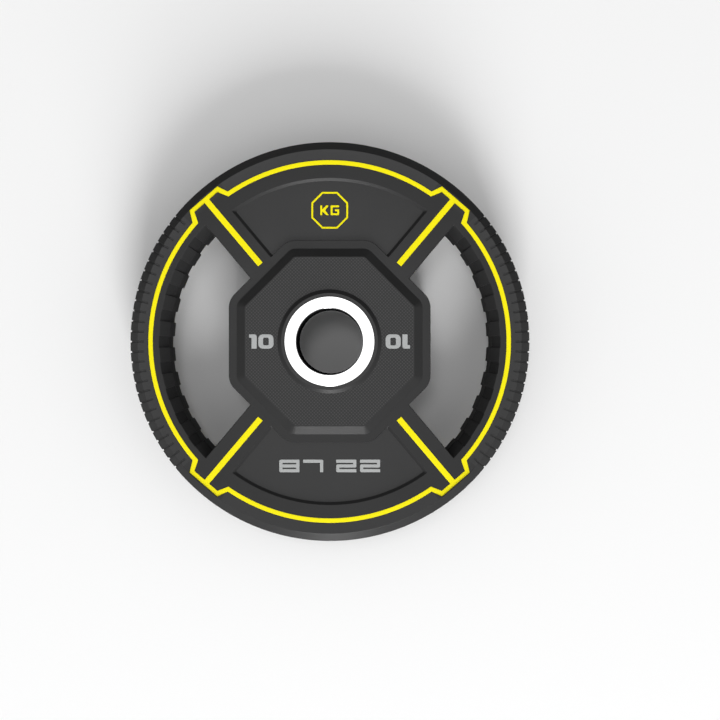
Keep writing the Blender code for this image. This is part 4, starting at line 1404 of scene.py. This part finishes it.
def whole_jacket(plan):
    """Both halves of the jacket, opened at the mid-plane and welded there, with its three finishes."""
    bm = bmesh.new()
    bm.from_mesh(half_jacket(plan))
    floor = [face for face in bm.faces if all(abs(v.co.z) < ON_PLANE for v in face.verts)]
    bmesh.ops.delete(bm, geom=floor, context="FACES")
    surplus = [v for v in bm.verts if abs(v.co.z) < ON_PLANE and len(v.link_edges) == 2]
    bmesh.ops.dissolve_verts(bm, verts=surplus)
    copy = bmesh.ops.duplicate(bm, geom=bm.verts[:] + bm.edges[:] + bm.faces[:])
    rear = [v for v in copy["geom"] if isinstance(v, bmesh.types.BMVert)]
    bmesh.ops.transform(bm, matrix=TO_REAR, verts=rear)
    bmesh.ops.remove_doubles(bm, verts=bm.verts, dist=WELD)
    bm.normal_update()
    for face in bm.faces:
        height = abs(face.verts[0].co.z)
        level = all(abs(abs(v.co.z) - height) < ON_PLANE for v in face.verts)
        if level and abs(height - plan.plateau_top) < ON_PLANE:
            face.material_index = MESHED
        elif level and min(abs(height - plan.panel_floor), abs(height - plan.collar_top)) < ON_PLANE:
            face.material_index = SATIN
        elif on_band(plan, face):
            face.material_index = SATIN
    return written(bm)


def sleeve_mesh(plan):
    """A flanged half sleeve that ends at the mid-plane. Its bore has the second finish."""
    hub = plan.hub
    seat = plan.half - hub.flange_thickness
    end = hub.gap / 2
    corners = [
        (hub.bore, end), (hub.bore, plan.half - hub.bore_chamfer),
        (hub.bore + hub.bore_chamfer, plan.half), (plan.flange, plan.half), (plan.flange, seat),
        (plan.barrel, seat), (plan.barrel, end),
    ]
    edge = hub.flange_edge
    radii = [0, edge, edge, edge, edge / 2, edge / 2, 0]
    mesh = turned(rounded([Vector(corner) for corner in corners], radii, EDGE_STEPS), ROUND_STEPS)
    for face in mesh.polygons:
        face.material_index = int(math.hypot(face.center.x, face.center.y) < hub.bore + WELD)
    return mesh


# Parts of the studio

def area_light(name, place, size, power, mirrored):
    """A light that looks at the plate. It is only mirrored, or else it only sheds diffuse light."""
    lamp = bpy.data.lights.new(name, "AREA")
    lamp.shape = "RECTANGLE"
    lamp.size, lamp.size_y = size
    lamp.energy = power
    item = placed(name, lamp)
    item.location = place
    item.rotation_euler = (Vector() - Vector(place)).to_track_quat("-Z", "Y").to_euler()
    item.visible_camera = False
    item.visible_glossy = mirrored
    item.visible_diffuse = not mirrored


def lit_panel(name, place, size, brightness, mirrored):
    """An area light of the given brightness."""
    area_light(name, place, size, brightness * math.pi * size[0] * size[1], mirrored)


def studio_world(studio):
    """White for the camera, darker overhead for diffuse light, and towards +Y for glossy pieces."""
    world = bpy.data.worlds.new("studio")
    world.use_nodes = True
    tree = world.node_tree
    path = add_node(tree, "ShaderNodeLightPath", {})
    generated = add_node(tree, "ShaderNodeTexCoord", {})["Generated"]
    direction = add_node(tree, "ShaderNodeSeparateXYZ", {"Vector": generated})
    ahead, up = direction["Y"], direction["Z"]
    shed = product(tree, ramp(tree, up, studio.horizon, studio.zenith, start=0.0, reach=1.0),
                   ramp(tree, ahead, 1.0, studio.far_side, start=0.0, reach=0.8))
    sheen = ramp(tree, up, *studio.sheen, start=0.0, reach=0.75)
    mirrored = product(tree, ramp(tree, ahead, sheen, studio.dark_side, start=0.0, reach=0.55),
                       ramp(tree, up, 1.0, studio.below, start=-0.4, reach=-0.85))
    unseen = ramp(tree, path["Is Glossy Ray"], shed, mirrored, start=0.0, reach=1.0)
    strength = ramp(tree, path["Is Camera Ray"], unseen, 1.0, start=0.0, reach=1.0)
    feed(tree, tree.nodes["Background"], {"Color": (1.0, 1.0, 1.0, 1.0), "Strength": strength})
    return world


# Operators, one for each piece or group of like pieces and one for the studio

class PLATE_OT_core(bpy.types.Operator):
    """Give the iron casting its sand-cast finish"""

    bl_idname = "plate.core"
    bl_label = "Iron core"

    def execute(self, context):
        core = frame["nodes"]["iron_core"]
        core.data.materials.clear()
        core.data.materials.append(cast_iron(context.scene.plate_finishes))
        return {"FINISHED"}


class PLATE_OT_jacket(bpy.types.Operator):
    """Mould the urethane jacket with its hub, rim, tread, grips, panels and recesses"""

    bl_idname = "plate.jacket"
    bl_label = "Urethane jacket"

    def execute(self, context):
        plan = Plan(context.scene)
        materials = [moulded("black_urethane", plan.finishes.urethane), meshed_urethane(plan.finishes),
                     moulded("satin_urethane", plan.finishes.satin)]
        shown("jacket", lifted(whole_jacket(plan), plan), materials, "urethane_jacket")
        return {"FINISHED"}


class PLATE_OT_sleeves(bpy.types.Operator):
    """Turn the two flanged hub sleeves"""

    bl_idname = "plate.sleeves"
    bl_label = "Hub sleeves"

    def execute(self, context):
        plan = Plan(context.scene)
        # The second finish is the bore's painted shade
        materials = [turned_steel(plan.finishes), blackened_bore(plan.finishes)]
        shown_twice(plan, sleeve_mesh(plan), "sleeve", materials, "hub_sleeve")
        return {"FINISHED"}


class PLATE_OT_line(bpy.types.Operator):
    """Pour the yellow line into both faces"""

    bl_idname = "plate.line"
    bl_label = "Yellow line"

    def execute(self, context):
        plan = Plan(context.scene)
        yellow = yellow_urethane(plan.finishes, "line")
        lay_inlays(plan, [("line_inlay", line_loops(plan))], plan.face_bed, yellow)
        return {"FINISHED"}


class PLATE_OT_figures(bpy.types.Operator):
    """Lay the light grey figures and letters into both faces"""

    bl_idname = "plate.figures"
    bl_label = "Figures"

    def execute(self, context):
        plan = Plan(context.scene)
        grey = moulded("grey_urethane", plan.finishes.grey, roughness=0.55, specular=0.3, spread=0.03)
        lay_inlays(plan, numerals(plan), plan.plateau_bed, grey)
        lay_inlays(plan, pound_mark(plan), plan.panel_bed, grey)
        return {"FINISHED"}


class PLATE_OT_badge(bpy.types.Operator):
    """Lay the yellow unit badge into both faces"""

    bl_idname = "plate.badge"
    bl_label = "Unit badge"

    def execute(self, context):
        plan = Plan(context.scene)
        yellow = yellow_urethane(plan.finishes, "badge")
        lay_inlays(plan, unit_badge(plan), plan.panel_bed, yellow)
        return {"FINISHED"}


class PLATE_OT_studio(bpy.types.Operator):
    """Set the floor, the lights and the camera round the plate"""

    bl_idname = "plate.studio"
    bl_label = "Studio"

    def execute(self, context):
        scene = context.scene
        studio = scene.plate_studio
        paper = bpy.data.meshes.new("studio_floor")
        side = studio.floor_size / 2
        corners = [(-side, -side, 0.0), (side, -side, 0.0), (side, side, 0.0), (-side, side, 0.0)]
        paper.from_pydata(corners, [], [(0, 1, 2, 3)])
        paper.materials.append(white_paper(studio))
        floor = placed("studio_floor", paper)
        floor.visible_glossy = False

        scene.world = studio_world(studio)
        area_light("key_light", studio.key_place, studio.key_size, studio.key_power, mirrored=False)
        lit_panel("top_light", studio.top_place, studio.top_size, studio.top_strength, mirrored=False)
        lit_panel("strip_panel", studio.strip_place, studio.strip_size, studio.strip_strength, mirrored=True)
        lit_panel("overhead_panel", studio.overhead_place, studio.overhead_size, studio.overhead_strength,
                  mirrored=True)

        lens = bpy.data.cameras.new("front_camera")
        lens.lens = studio.lens
        lens.shift_x, lens.shift_y = studio.shift
        camera = placed("front_camera", lens)
        camera.location = studio.camera_place
        scene.camera = camera
        scene.view_settings.view_transform = "Standard"
        return {"FINISHED"}


OPERATORS = (PLATE_OT_core, PLATE_OT_jacket, PLATE_OT_sleeves, PLATE_OT_line, PLATE_OT_figures,
             PLATE_OT_badge, PLATE_OT_studio)


class PLATE_PT_build(bpy.types.Panel):
    """Lists the steps that build the weight plate"""

    bl_idname = "PLATE_PT_build"
    bl_label = "Urethane Weight Plate"
    bl_space_type = "VIEW_3D"
    bl_region_type = "UI"
    bl_category = "Weight Plate"

    def draw(self, context):
        for step in OPERATORS:
            self.layout.operator(step.bl_idname)


CLASSES = (*SETTINGS.values(), *OPERATORS, PLATE_PT_build)


def register():
    for kind in CLASSES:
        bpy.utils.register_class(kind)
    for name, kind in SETTINGS.items():
        setattr(bpy.types.Scene, f"plate_{name}", PointerProperty(type=kind))


def unregister():
    for name in SETTINGS:
        delattr(bpy.types.Scene, f"plate_{name}")
    for kind in reversed(CLASSES):
        bpy.utils.unregister_class(kind)


def main():
    register()
    bpy.ops.plate.core()
    bpy.ops.plate.jacket()
    bpy.ops.plate.sleeves()
    bpy.ops.plate.line()
    bpy.ops.plate.figures()
    bpy.ops.plate.badge()
    bpy.ops.plate.studio()


if __name__ == "__main__":
    main()
